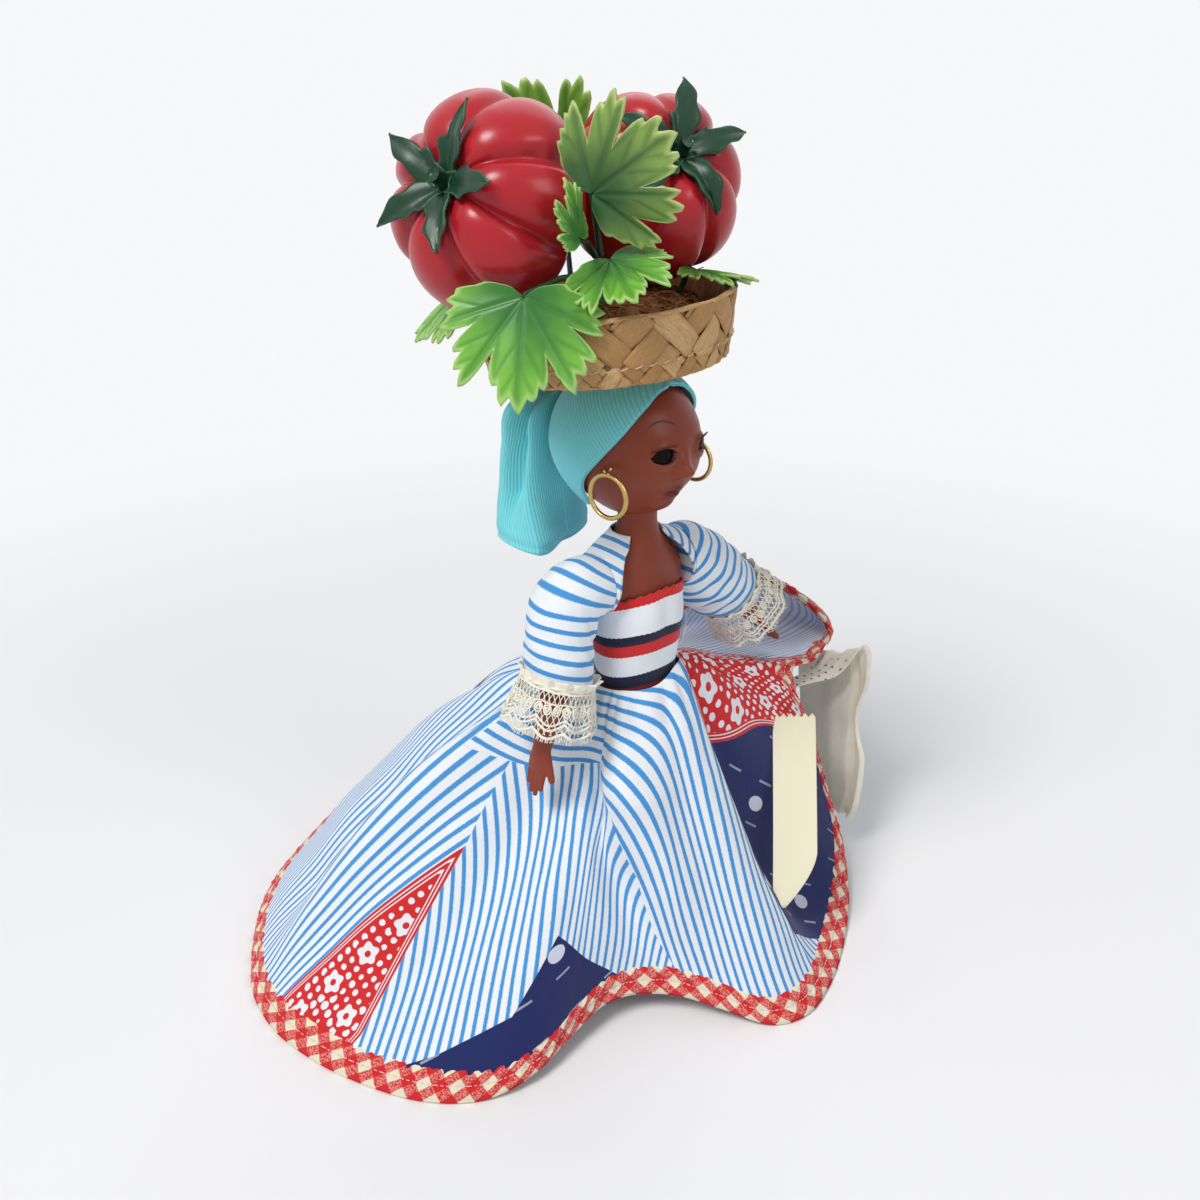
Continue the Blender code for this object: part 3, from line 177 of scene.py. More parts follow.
def ring_cell(f, p, q, period):
    """Coordinates in a square cell of a lattice, from its middle."""
    return [f.math("WRAP", value, period / 2, -period / 2) for value in (p, q)]


def length_of(f, p, q):
    return f.math("SQRT", f.math("ADD", f.math("MULTIPLY", p, p), f.math("MULTIPLY", q, q)))


def calico(f, p, q, edge):
    """Red cloth with white flowers, dots and a double border line."""
    x, y = ring_cell(f, p, q, 12.4)
    far = length_of(f, x, y)
    turn = f.math("COSINE", f.math("MULTIPLY", f.math("ARCTAN2", y, x), 5.0))
    petal = f.math("MULTIPLY_ADD", turn, 0.45, 2.95)
    flower = f.math("MULTIPLY", f.rise(far, 0.85, 1.05), f.rise(f.math("SUBTRACT", petal, far), -0.1, 0.12))
    dot_x, dot_y = ring_cell(f, f.math("ADD", p, 1.55), f.math("ADD", q, 1.55), 3.1)
    size = f.math("MULTIPLY_ADD", f.noise(230, 0), 1.5, 0.1)
    inside = f.rise(f.math("SUBTRACT", size, length_of(f, dot_x, dot_y)), -0.08, 0.08)
    dot = f.math("MULTIPLY", inside, f.rise(far, 4.1, 4.3))
    from_pair = f.math("ABSOLUTE", f.math("SUBTRACT", edge, 1.3))
    line = f.rise(f.math("ABSOLUTE", f.math("SUBTRACT", from_pair, 0.42)), 0.20, 0.10)
    clear = f.rise(edge, 2.2, 2.6)
    white = f.math("MAXIMUM", line, f.math("MULTIPLY", clear, f.math("MAXIMUM", flower, dot)))
    return f.mix(white, RED, (0.80, 0.80, 0.84))


def navy_print(f, p, q):
    """Navy cloth with pale dashes and ovals."""
    row = f.rise(f.repeat(f.math("ADD", p, 2.0), 12.0), 0.36, 0.24)
    dash = f.math("MULTIPLY", row, f.rise(f.repeat(f.math("ADD", q, 3.0), 13.0), 3.9, 4.1))
    x, y = ring_cell(f, f.math("ADD", p, 8.0), f.math("ADD", q, 5.8), 24.0)
    oval = f.rise(length_of(f, x, f.math("MULTIPLY", y, 0.75)), 2.2, 2.0)
    return f.mix(f.math("MAXIMUM", f.math("MULTIPLY", dash, 0.5), oval), NAVY, (0.62, 0.66, 0.78))


def skirt_finish():
    f = Finish("striped_skirt", roughness=0.85, Sheen_Weight=0.15)
    odd = f.rise(f.attribute("gore"), -0.05, 0.05)
    first, second = f.attribute("across_even"), f.attribute("across_odd")
    blue = f.mix(f.attribute("pale"), BLUE, PALE_BLUE)
    # where the stripes of two gores meet, each keeps its own up to the seam
    even, uneven, waist = (
        stripe_colour(f, across, blue=blue, pitch=2.6, share=0.38)
        for across in (first, second, f.attribute("across_waist"))
    )
    colour = f.mix(odd, uneven, even)
    colour = f.mix(f.rise(f.attribute("waist_gore"), -0.05, 0.05), colour, waist)
    p, q = f.attribute("print_p"), f.attribute("print_q")
    red, navy = f.attribute("red_patch"), f.attribute("navy_patch")
    colour = f.mix(f.rise(red, -0.06, 0.06), colour, calico(f, p, q, red))
    colour = f.mix(f.rise(navy, -0.06, 0.06), colour, navy_print(f, p, q))
    f.set(Base_Color=colour)
    return knit_bump(f).material


def gingham_finish(name, period=6.0, cream=CREAM):
    """Bias gingham from the length along the tape and the place across it, in millimetres."""
    f = Finish(name, roughness=0.85, Sheen_Weight=0.1)
    along, across = f.attribute("along"), f.attribute("across")
    waves = []
    for sign in (1.0, -1.0):
        slanted = f.math("MULTIPLY", f.math("MULTIPLY_ADD", across, sign, along), 0.7071)
        waves.append(f.rise(f.repeat(slanted, period), period / 4 - 0.12, period / 4 + 0.12))
    both, one = f.math("MULTIPLY", *waves), f.math("MAXIMUM", *waves)
    middle = f.mix(f.rise(f.noise(2400, 1), 0.42, 0.58), RED, (0.70, 0.26, 0.22))
    f.set(Base_Color=f.mix(both, f.mix(one, RED, middle), cream))
    return knit_bump(f, 1800, 0.5).material


def knit_finish(name, colour, dark, scale, strength=0.5):
    """Fine ribs of stretched knit across the attribute; the dark colour is painted shade in the grooves between the
    ribs.
    """
    f = Finish(name, roughness=0.85, Sheen_Weight=0.15)
    rib = f.repeat(f.attribute("across"), scale)
    height = f.math("DIVIDE", rib, scale / 2)
    # painted shade: the dark colour fills each rib's groove, where the bump sinks
    f.set(Base_Color=f.mix(f.rise(height, 0.0, 0.45), dark, colour))
    return f.bump(height, strength, 0.0002).material


def plastic(name, colour, roughness, **values):
    return Finish(name, colour, roughness, **values).material


# Meshes


def moved(matrix, points):
    rotation, shift = np.array(matrix.to_3x3()), np.array(matrix.translation)
    return np.asarray(points) @ rotation.T + shift


def full_turn(count):
    return np.linspace(0, 2 * math.pi, count, endpoint=False)


def bell(value, width):
    return np.exp(-((value / width) ** 2))


def rings(a, radius_x, radius_y, heights):
    """Points on level rings: a row for each height and a column for each angle."""
    return np.stack(np.broadcast_arrays(radius_x * np.cos(a), radius_y * np.sin(a), heights), -1)


def sphere(rows, columns, pole, squeeze=0.0):
    """Unit directions from the top down. Squeeze gathers the columns towards the front."""
    lat, lon = np.linspace(pole, math.pi - pole, rows)[:, None], full_turn(columns)
    return rings(lon + squeeze * np.cos(lon), np.sin(lat), np.sin(lat), np.cos(lat))


def raised(points, amount, around=True):
    """The points, moved out along their normals."""
    return points + normals_of(points, around) * amount[..., None]


def walked_along(points):
    """Length from the first point to each, in millimetres."""
    return np.concatenate([[0], np.cumsum(np.linalg.norm(np.diff(points, axis=0), axis=1))]) / MM


def normals_of(points, around):
    """Unit normals of a grid of points; around tells whether its second direction closes."""
    down = np.gradient(points, axis=0)
    across = np.roll(points, -1, 1) - np.roll(points, 1, 1) if around else np.gradient(points, axis=1)
    normal = np.cross(across, down)
    return normal / np.maximum(np.linalg.norm(normal, axis=2, keepdims=True), 1e-12)


def object_from(
    name, verts, faces, finish, body, slot=None, node=None, thickness=None, inward=True, **attributes
):
    """A smooth piece that rides a body and stands in for the solid it hides; the slot is not used."""
    mesh = bpy.data.meshes.new(name)
    mesh.from_pydata([tuple(v) for v in verts], [], faces)
    mesh.materials.append(finish)
    mesh.shade_smooth()
    obj = bpy.data.objects.new(name, mesh)
    bpy.context.scene.collection.objects.link(obj)
    for key, values in attributes.items():
        mesh.attributes.new(key, "FLOAT", "POINT").data.foreach_set("value", np.array(values, np.float32).ravel())
    if thickness:
        solid = obj.modifiers.new("thickness", "SOLIDIFY")
        solid.thickness, solid.offset = thickness, -1 if inward else 1
    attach(obj, body)
    if node:
        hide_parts(node)
    return obj


def grid_faces(rows, columns, around, first=0):
    faces = []
    for i in range(rows - 1):
        for j in range(columns if around else columns - 1):
            k = (j + 1) % columns
            corner = first + i * columns
            faces.append((corner + j, corner + k, corner + columns + k, corner + columns + j))
    return faces


def grid(
    name, points, finish, body, slot, node=None, around=True, closed=False, thickness=None, inward=True, **attributes
):
    """A surface through a grid of points. A closed one has a face over its first row and its last."""
    rows, columns = points.shape[:2]
    faces = grid_faces(rows, columns, around)
    if closed:
        faces.append(tuple(range(columns)))
        faces.append(tuple(reversed(range((rows - 1) * columns, rows * columns))))
    attributes = {key: np.broadcast_to(values, (rows, columns)) for key, values in attributes.items()}
    return object_from(name, points.reshape(-1, 3), faces, finish, body, slot, node, thickness, inward, **attributes)


def tubes(name, paths, finish, body, slot, node=None, sides=5):
    """Round threads or wires along paths of (points, radius), as one piece."""
    verts, faces = [], []
    for points, radius in paths:
        points = np.asarray(points, float)
        along = np.gradient(points, axis=0)
        along /= np.linalg.norm(along, axis=1, keepdims=True)
        helper = np.array((0.0, 0.0, 1.0) if abs(along[0][2]) < 0.9 else (1.0, 0.0, 0.0))
        first = len(verts)
        side = np.cross(along[0], helper)
        for point, ahead, size in zip(points, along, np.broadcast_to(radius, len(points))):
            side = side - ahead * (side @ ahead)
            side /= np.linalg.norm(side)
            other = np.cross(ahead, side)
            verts += [point + (side * math.cos(a) + other * math.sin(a)) * size for a in full_turn(sides)]
        faces += grid_faces(len(points), sides, True, first)
        faces.append(tuple(first + s for s in range(sides)))
        faces.append(tuple(first + (len(points) - 1) * sides + s for s in reversed(range(sides))))
    return object_from(name, verts, faces, finish, body, slot, node)


def ripple(points, size, seed, waves=10):
    """Smooth random values from -1 to 1 over space, for wrinkles about that size."""
    rng = np.random.default_rng(seed)
    total = 0
    for _ in range(waves):
        direction = rng.normal(size=3)
        direction *= rng.uniform(0.6, 1.4) / size / np.linalg.norm(direction)
        total = total + np.sin(points @ direction * math.pi + rng.uniform(0, 2 * math.pi))
    return total / waves**0.5 / 1.4


def smooth_steps(keys, values, at):
    """Values between keys on a smooth curve."""
    keys, values = np.asarray(keys, float), np.asarray(values, float)
    slopes = np.gradient(values, keys, axis=0)
    index = np.clip(np.searchsorted(keys, at) - 1, 0, len(keys) - 2)
    width = keys[index + 1] - keys[index]
    t = (at - keys[index]) / width
    if values.ndim > 1:
        t, width = t[:, None], width[:, None]
    a, b = values[index], values[index + 1]
    return (
        a * (2 * t**3 - 3 * t**2 + 1) + b * (3 * t**2 - 2 * t**3)
        + slopes[index] * width * (t**3 - 2 * t**2 + t) + slopes[index + 1] * width * (t**3 - t**2)
    )


# Half dolls

TORSO = np.array(
    (
        (0.0, 10.0, 8.0), (9.0, 10.6, 8.6), (19.0, 11.8, 10.2), (27.0, 12.0, 9.4), (32.5, 13.4, 7.8),
        (36.0, 11.6, 7.2), (39.5, 8.2, 6.3), (43.5, 5.3, 5.2), (52.3, 5.15, 5.15),
    )
) * MM


def torso_points(heights, offset, a):
    """Points round the torso at an offset. Angles run from +X through the back."""
    size = smooth_steps(TORSO[:, 0], TORSO[:, 1:], heights) + offset
    points = rings(a, size[:, :1], size[:, 1:], heights[:, None])
    front = np.clip(-np.sin(a), 0, None) ** 2
    bust = bell(points[..., 2] - 21 * MM, 6.5 * MM)
    apart = bell(np.abs(points[..., 0]) - 4.6 * MM, 3.2 * MM)
    points[..., 1] -= front * bust * (apart * 0.9 - 0.35) * MM
    return points


def make_torso(half, matrix, skin):
    points = torso_points(np.linspace(0.2, 52.3, 80) * MM, 0, full_turn(72))
    grid(half + "_torso_skin", moved(matrix, points), skin, BODY, "brown_plastic", half + "_torso", closed=True)


def eye_gap(X, Z, aside=0.0):
    """Height inside the almond opening of either eye: positive inside it, negative outside, in millimetres."""
    across = (np.abs(X + aside) - 6.3) / 2.8
    lid = np.where(Z > 0.8, 1.95, 1.55) * np.clip(1 - across**2, 0, None) ** 0.6
    return np.where(np.abs(across) < 1, lid - np.abs(Z - 0.8), -np.hypot((np.abs(across) - 1) * 2.8, Z - 0.8))


# Forms of the face: distance from the middle, height, reach across and up, and how far it stands out
FEATURES = (
    (0, -3.6, 1.8, 1.5, 2.6), (0, -0.6, 1.3, 2.8, 0.7), (1.8, -4.3, 1.0, 0.9, 1.1), (0, -7.9, 2.5, 0.70, 0.95),
    (0, -9.6, 2.1, 0.80, 1.10), (0, -8.75, 2.6, 0.26, -0.55), (0, -13.2, 3.8, 2.8, 2.1), (6.8, -5.4, 3.6, 3.6, 0.45),
    (0, -5.75, 2.2, 0.5, -0.45), (0, -11.3, 2.2, 0.7, -0.45), (6.2, 5.2, 4.0, 1.6, 0.30),
)


def head_surface(d, offset=0.0, face=True, aside=0.0):
    """The head's surface in unit directions, with the features of its face, a little aside if wanted."""
    low = np.clip(-d[..., 2], 0, None)
    narrow = 1 - 0.26 * low**1.6
    jaw = np.where(d[..., 1] < 0, 1 - 0.16 * low**2, 1 - 0.30 * low**1.5)
    point = d * np.stack([15.8 * narrow, 17.6 * jaw, 17.5 + 0 * low], -1) * MM
    if face:
        X, Z = point[..., 0] / MM + aside * 2.0, point[..., 2] / MM
        gap = eye_gap(X, Z, -aside)
        out = sum(height * bell(np.abs(X) - cx, sx) * bell(Z - cz, sz) for cx, cz, sx, sz, height in FEATURES)
        out += 0.75 * bell(gap + 0.5, 0.75) * (gap < 0.6) - 2.4 * np.clip((gap + 0.05) / 0.45, 0, 1)
        point[..., 1] -= out * np.clip(-d[..., 1] * 3, 0, 1) * MM
    return point + d * offset


def make_head(half, matrix, skin):
    aside = 1.0 if half == "upper" else 0.0
    points = head_surface(sphere(190, 260, 0.012, 0.45), aside=aside)
    X, Z = points[..., 0] / MM + aside * 2.0, points[..., 2] / MM
    front = points[..., 1] < 0
    from_middle = ((np.abs(X - aside * 1.8) - 6.2) / 4.0) ** 2
    brow = 0.24 * np.clip(1 - from_middle, 0, None) + 0.02 - np.abs(Z - 8.5 + from_middle * 2.3)
    lips = 1 - (X / 3.0) ** 2 - ((Z + 8.8) / (1.6 + 0.25 * np.cos(X * 2.4))) ** 2
    grid(
        half + "_head_skin", moved(matrix, points), skin, half + "_head_body", "brown_plastic", half + "_head", closed=True,
        brow=np.where(front, np.clip(brow, -1, 1), -1), lips=np.where(front, np.clip(lips, -1, 1), -1),
        lid=np.clip((eye_gap(X, Z, -aside) + 0.30) / 0.4, 0, 1) * front,
    )


def skin_finish(name="brown_skin", face=True):
    f = Finish(name, roughness=0.40, Coat_Weight=0.05, Coat_Roughness=0.3)
    base = f.mix(f.noise(60, 2), (0.215, 0.038, 0.018), (0.255, 0.049, 0.023))
    if face:
        base = f.mix(f.math("MULTIPLY", f.rise(f.attribute("lips"), 0.0, 0.35), 0.75), base, (0.105, 0.012, 0.011))
        base = f.mix(f.rise(f.attribute("lid"), 0.35, 0.8), base, (0.012, 0.006, 0.005))
        base = f.mix(f.rise(f.attribute("brow"), -0.06, 0.08), base, (0.022, 0.008, 0.004))
    return f.set(Base_Color=base).material


def make_eyes(half, matrix, turn):
    """Glossy eyeballs with dark irises, and a fringe of lashes on the lids of the head."""
    f = Finish("eye_gloss", roughness=0.06, Specular_IOR_Level=0.07)
    iris = f.attribute("iris")
    colour = f.mix(f.rise(iris, 2.9, 3.3), (0.006, 0.003, 0.002), (0.012, 0.006, 0.004))
    colour = f.mix(f.rise(iris, 1.2, 1.4), (0.001, 0.001, 0.001), colour)
    f.set(Base_Color=f.mix(f.rise(f.attribute("lid"), -0.1, 0.1), colour, (0.06, 0.014, 0.009)))
    eye = matrix @ Matrix.Translation((0, -0.0122, 0.001)) @ Matrix.Rotation(math.radians(turn), 4, "X")
    aside = 1.0 if half == "upper" else 0.0
    d = sphere(48, 64, 0.01)
    for side, sign in SIDES:
        grid(
            f"{half}_eye_{side}", moved(eye, d * 0.004 + (sign * 0.0062, 0, 0)), f.material, half + "_eyes",
            "eye_plastic", half + "_sleep_eyes" if side == "left" else None, closed=True,
            iris=np.hypot(d[..., 0], d[..., 2]) * 4 + (d[..., 1] > 0) * 9, lid=d[..., 2] * 4 - 1.75,
        )
        rng = np.random.default_rng(7 + sign)
        paths = []
        for k in range(19):
            a = math.radians(sign * (-34 + 98 * k / 18))
            across = sign * 6.2 - aside + math.sin(a) * 2.9
            front = 12.3 - 17.6 * math.sqrt(1 - (across / 15.8) ** 2)
            root = np.array((across, front, 1.75 * math.cos(a) ** 1.2))
            out = np.array((math.sin(a) * 1.3, -math.cos(a) * 0.9 - 0.5, 0.5)) * rng.uniform(0.85, 1.15)
            lash = [root + out * t + (0, 0, 0.7 * t * t) for t in np.linspace(0, 1, 5)]
            paths.append((moved(eye, np.array(lash) * MM), np.linspace(0.10, 0.03, 5) * MM))
        tubes(f"{half}_lashes_{side}", paths, LASH, half + "_head_body", None, sides=4)


def capsule_rings(start, end, r0, r1, steps=10, sides=16):
    """Rings of a round-ended rod between two points, in millimetres."""
    start, axis = np.array(start, float), np.subtract(end, start).astype(float)
    length = np.linalg.norm(axis)
    axis /= length
    side = np.cross(axis, (0, 0, 1.0) if abs(axis[2]) < 0.9 else (1.0, 0, 0))
    side /= np.linalg.norm(side)
    other = np.cross(axis, side)
    places = [(-r0 * math.cos(a), r0 * math.sin(a)) for a in np.linspace(0.15, math.pi / 2, 5)]
    places += [(length * t, r0 + (r1 - r0) * t) for t in np.linspace(0, 1, steps)[1:-1]]
    places += [(length + r1 * math.cos(a), r1 * math.sin(a)) for a in np.linspace(math.pi / 2, 0.15, 5)]
    return np.array([
        [start + axis * along + radius * (side * math.cos(a) + other * math.sin(a)) for a in full_turn(sides)]
        for along, radius in places
    ])


# Arm: height, half width and half depth
ARM = (
    (4.6, 1.5, 1.5), (3.6, 3.3, 3.3), (1.8, 4.5, 4.5), (0, 4.9, 4.9), (-5, 4.6, 4.6), (-12, 4.45, 4.3), (-19, 4.1, 3.9),
    (-24, 3.85, 3.6), (-31, 3.6, 3.2), (-37, 2.9, 2.4), (-40.5, 2.6, 2.1), (-43.5, 3.2, 1.75), (-46.5, 3.0, 1.2),
)


def make_arm(half, side, skin):
    """Arm and hand with separate fingers, fused into one skin."""
    sign = dict(SIDES)[side]
    parts = [np.array([[(d * math.cos(a), w * math.sin(a), h) for a in full_turn(24)] for h, w, d in ARM])]
    for y, reach in ((-2.2, 50.8), (-0.75, 52.6), (0.75, 52.3), (2.2, 50.4)):
        parts.append(capsule_rings((0, y, -44.5), (-sign * 0.5, y * 1.05, -reach), 0.95, 0.66))
    parts.append(capsule_rings((0, -1.6, -41.0), (-sign * 1.2, -4.7, -47.6), 1.25, 0.85))
    verts, faces = [], []
    for part in parts:
        rows, columns = part.shape[:2]
        first = len(verts)
        verts += list(moved(ARMS[half, side], part.reshape(-1, 3) * MM))
        faces += grid_faces(rows, columns, True, first)
        faces.append(tuple(first + c for c in range(columns)))
        faces.append(tuple(first + (rows - 1) * columns + c for c in reversed(range(columns))))
    obj = object_from(
        f"{half}_arm_skin_{side}", verts, faces, skin, f"{half}_{side}_arm", "brown_plastic", f"{half}_arm_{side}",
    )
    remesh = obj.modifiers.new("fuse", "REMESH")
    remesh.mode = "VOXEL"
    remesh.voxel_size = 0.00032
    remesh.use_smooth_shade = True
    obj.modifiers.new("soften", "SMOOTH").iterations = 4


def make_bodice(half, matrix, finish, slot):
    heights, angles = np.linspace(1.6, 27.5, 56) * MM, full_turn(120)
    points = torso_points(heights, 0.95 * MM, angles)
    share = ((heights - heights[0]) / (heights[-1] - heights[0]))[:, None]
    points[..., 2] += 3.0 * MM * (0.35 + 0.65 * share) * np.sin(angles) ** 2
    points = raised(points, 0.12 * MM * ripple(points * (1, 1, 3.0), 6 * MM, 3))
    points[..., 2] += np.sin(angles * 90) * 0.22 * MM * (share > 0.97)
    down = (heights[-1] - heights)[:, None] / MM + 0.10 * np.sin(angles * 64)
    obj = grid(
        half + "_bodice_knit", moved(matrix, points), finish, BODY, slot, half + "_bodice", thickness=0.0005,
        across=down, along=angles * 11,
    )


def bodice_finish():
    f = Finish("banded_bodice", roughness=0.85, Sheen_Weight=0.2)
    down = f.attribute("across")
    black = (0.008, 0.010, 0.035)
    bands = ((2.0, RED), (9.2, WHITE_KNIT), (11.7, black), (14.9, RED), (20.4, WHITE_KNIT), (23.7, black))
    colour = (0.30, 0.012, 0.02)
    for end, band in reversed(bands):
        colour = f.mix(f.rise(down, end - 0.10, end + 0.10), band, colour)
    f.set(Base_Color=colour)
    return knit_bump(f, 1400, 0.5).material


def shoulder_stripes(local):
    """Stripes that run over the shoulder and down the front edge: distance outward and down from the neck."""
    return 60 + 0.75 * np.abs(local[..., 0]) / MM - 0.85 * (local[..., 2] / MM - 32.5)


# Jacket: height, half width, half depth, half the front opening, and how much wider it is on one side
JACKET = (
    (10.5, 13.0, 11.0, 12.9, 0), (19, 13.3, 12.4, 13.1, 0), (24.6, 13.38, 12.2, 13.2, 0), (25.5, 13.84, 11.9, 13.2, 0),
    (27, 15.03, 11.6, 13.2, 0), (29, 16.9, 11.0, 13.0, 0), (32.5, 20.6, 10.0, 12.1, 0.3), (36, 18.84, 9.6, 10.4, 1.2),
    (38.6, 15.8, 8.6, 8.6, 1.7), (40.0, 13.57, 7.6, 7.4, 1.6), (40.7, 11.8, 7.2, 6.6, 1.4), (41.4, 9.6, 6.9, 5.9, 1.1),
    (42.4, 7.6, 6.5, 5.3, 0.8), (43.4, 6.6, 6.2, 4.9, 0.6),
)
# How far the middle of a sleeve is pulled aside: near the shoulder, and further out
SLEEVE_SHIFTS = {
    ("upper", "left"): ((-0.8, 0, -1.2), (-0.6, 0, -2.4)),
    ("upper", "right"): ((-1.0, 0.8, 0), (-4.0, 3.0, 0.4)),
}
# Heavier threads round a cuff: place from its heading to its edge, radius, and how far they dip with the scallops
LACE_BANDS = (
    (0.04, 0.34, 0.0), (0.12, 0.26, 0.0), (0.32, 0.20, 0.02), (0.60, 0.26, 0.16), (0.69, 0.30, 0.16), (0.86, 0.40, 0.14),
)
# Front edge of the scarf: height on the skull and depth
SCARF_EDGES = {
    "upper": (
        (-12.6, 4.2), (-10.9, 3.8), (-6.0, 1.6), (0.0, -3.6), (6.0, -8.2), (11.0, -10.4), (15.0, -11.4), (17.4, -14.8),
    ),
    "lower": ((-12.6, 4.0), (2.0, -0.5), (12.0, -6.0), (16.5, -11.0), (17.4, -17.0)),
}
# Tail of the scarf: share of its length, half width and half depth
TAIL = (
    (0.0, 3.4, 1.2), (0.10, 9.6, 5.0), (0.35, 12.4, 6.0), (0.6, 13.4, 6.6), (0.82, 14.6, 7.6), (0.93, 14.8, 7.2),
    (0.985, 13.8, 4.6), (1.0, 11.0, 1.2),
)


def make_jacket(finish):
    """Open jacket: its shoulders run out to the sleeves, and its fronts fall back under the arms."""
    heights = np.linspace(10.5, 43.4, 68)[:, None]
    width, depth, left, more = (np.interp(heights, *np.array(JACKET)[:, [0, k]].T) for k in (1, 2, 3, 4))
    under_arm = np.interp(heights, (10.5, 24.0, 27.5), (0.5, 0.42, 0.0))
    start = np.arcsin(np.minimum(0.995, left / width)) + under_arm - math.pi / 2
    end = 1.5 * math.pi - np.arcsin(np.minimum(0.995, (left + more) / width)) - under_arm
    points = rings(start + (end - start) * np.linspace(0, 1, 150), width, depth, heights) * MM
    points = raised(points, 0.22 * MM * ripple(points, 5 * MM, 12), False)
    points[..., 0] = np.clip(points[..., 0], -13.4 * MM, 13.4 * MM)
    obj = grid(
        "jacket_body", moved(UPPER, points), finish, BODY, "striped_cloth", "upper_jacket", around=False,
        thickness=0.0005, across=shoulder_stripes(points),
    )


def make_sleeve(half, side, finish, radius, end, slot, seed):
    """Sleeve that leaves the round armhole, bends over the shoulder and hangs along the arm."""
    sign = dict(SIDES)[side]
    matrix = ARMS[half, side]
    home, hole, flat = (UPPER, 7.35, (0.058, 0.029)) if half == "upper" else (LOWER, 6.2, (0.043, 0.027))
    angles = full_turn(96)
    c, s = np.cos(angles), np.sin(angles)
    one = np.ones_like(c)
    first = np.stack([sign * 13.5 * one, hole * s, 32.5 + hole * c], 1) * MM
    out = np.stack([sign * (4.6 + 3.2 * c), 0.6 * s, 1.0 + 1.6 * c], 1) * MM
    far = radius / 9.4
    bulge = np.stack([sign * 9.6 * c * far, 9.3 * s * far, (-4.0 + 6.4 * c) * far], 1) * MM
    foot = np.stack([sign * end * c, end * s, -22.0 * one], 1) * MM
    shifts = SLEEVE_SHIFTS.get((half, side), ((0, 0, 0), (0, 0, 0)))
    ends = [moved(home, first), moved(home, first + out), moved(matrix, bulge), moved(matrix, foot)]
    ends[1], ends[2] = (ends[k + 1] + np.array(shifts[k]) * MM for k in (0, 1))
    t = np.linspace(0, 1, 70)[:, None, None]
    world = sum(w * p[None] for w, p in zip(((1 - t) ** 3, 3 * t * (1 - t) ** 2, 3 * t * t * (1 - t), t**3), ends))
    walked = np.concatenate([np.zeros((1, 96)), np.cumsum(np.linalg.norm(np.diff(world, axis=0), axis=2), 0)]) / MM
    free = np.clip(walked / 5, 0, 1) * np.clip((walked[-1:] - walked) / 5, 0, 1)
    crease = ripple(world * (1, 1, 2.2), 5.5 * MM, seed) * 0.36 + ripple(world * (1, 1, 1.4), 9 * MM, seed + 1) * 0.34
    inner = bell(angles - math.pi, 1.3) * np.sin(walked * 1.15) * 0.45
    local = moved(home.inverted(), raised(world, (crease + inner) * free * MM))
    along = -moved(matrix.inverted(), world)[..., 2] / MM
    blend = np.clip((along + 9) / 14, 0, 1) ** 1.2
    hanging = along + 60 + 0.75 * 18.6 + 0.3 * ripple(world, 7 * MM, seed + 2)
    across = shoulder_stripes(moved(home.inverted(), world)) * (1 - blend) + hanging * blend
    local[..., 0] = sign * np.maximum(sign * local[..., 0], 13.45 * MM)
    obj = grid(
        f"{half}_sleeve_cloth_{side}", moved(home, local), finish, f"{half}_{side}_arm", slot, f"{half}_sleeve_{side}",
        thickness=0.0005, across=across,
    )


def make_cuff(half, side, radius, flare, seed):
    """Gathered lace: a ruffled heading, a net with scallops, and small loops along its edge."""
    matrix, body = ARMS[half, side], f"{half}_{side}_arm"
    phase = np.random.default_rng(seed).uniform(0, 6)

    def point(a, t):
        gather = 0.55 * math.sin(11 * a + phase + 0.6 * math.sin(3 * a)) * (0.25 + 0.75 * t)
        r = radius + 0.25 + flare * t + gather
        return (r * math.cos(a), r * math.sin(a), -22.0 - 12.0 * t)

    def scallop(a):
        return abs(math.sin(9 * a / 2 + phase)) ** 0.8

    angles, t = full_turn(260), np.linspace(0, 1, 12)[:, None]
    wave = np.sin(15 * angles + phase) * 0.6 + np.sin(26 * angles + 2 * phase) * 0.35
    r = radius + 0.35 + 1.2 * t * t + wave * t * 0.75
    heading = rings(angles, r, r, -23.6 + 3.0 * t + 0.15 * wave * t)
    grid(f"{half}_cuff_heading_{side}", moved(matrix, heading * MM), LACE, body, "cream_lace", thickness=0.00025)
    paths = []
    for a0 in full_turn(46):
        for lean in (1, -1):
            paths.append(([point(a0 + lean * 0.50 * t, t * 0.93) for t in np.linspace(0, 1, 9)], 0.13))
    for level, thick, dip in LACE_BANDS:
        ring = [point(a, level + dip * scallop(a) * 0.9) for a in angles]
        paths.append((ring + ring[:1], thick))
    for a0 in full_turn(27) + math.pi / 27:
        for size in (0.04, 0.085):
            turn = np.linspace(0, 2 * math.pi, 11)
            paths.append(([point(a0 + size * math.cos(b), 0.46 + 1.1 * size * math.sin(b)) for b in turn], 0.25))
    for a0 in full_turn(64):
        edge = 0.87 + 0.126 * scallop(a0)
        turn = np.linspace(-2.6, 2.6, 9)
        loop = [point(a0 + 0.036 * math.sin(b), min(1.06, edge + 0.066 * (1 - math.cos(b)))) for b in turn]
        paths.append((loop, 0.13))
    paths = [(moved(matrix, np.array(line) * MM), size * MM) for line, size in paths]
    tubes(f"{half}_cuff_lace_{side}", paths, LACE, body, "cream_lace", f"{half}_cuff_{side}", 4)


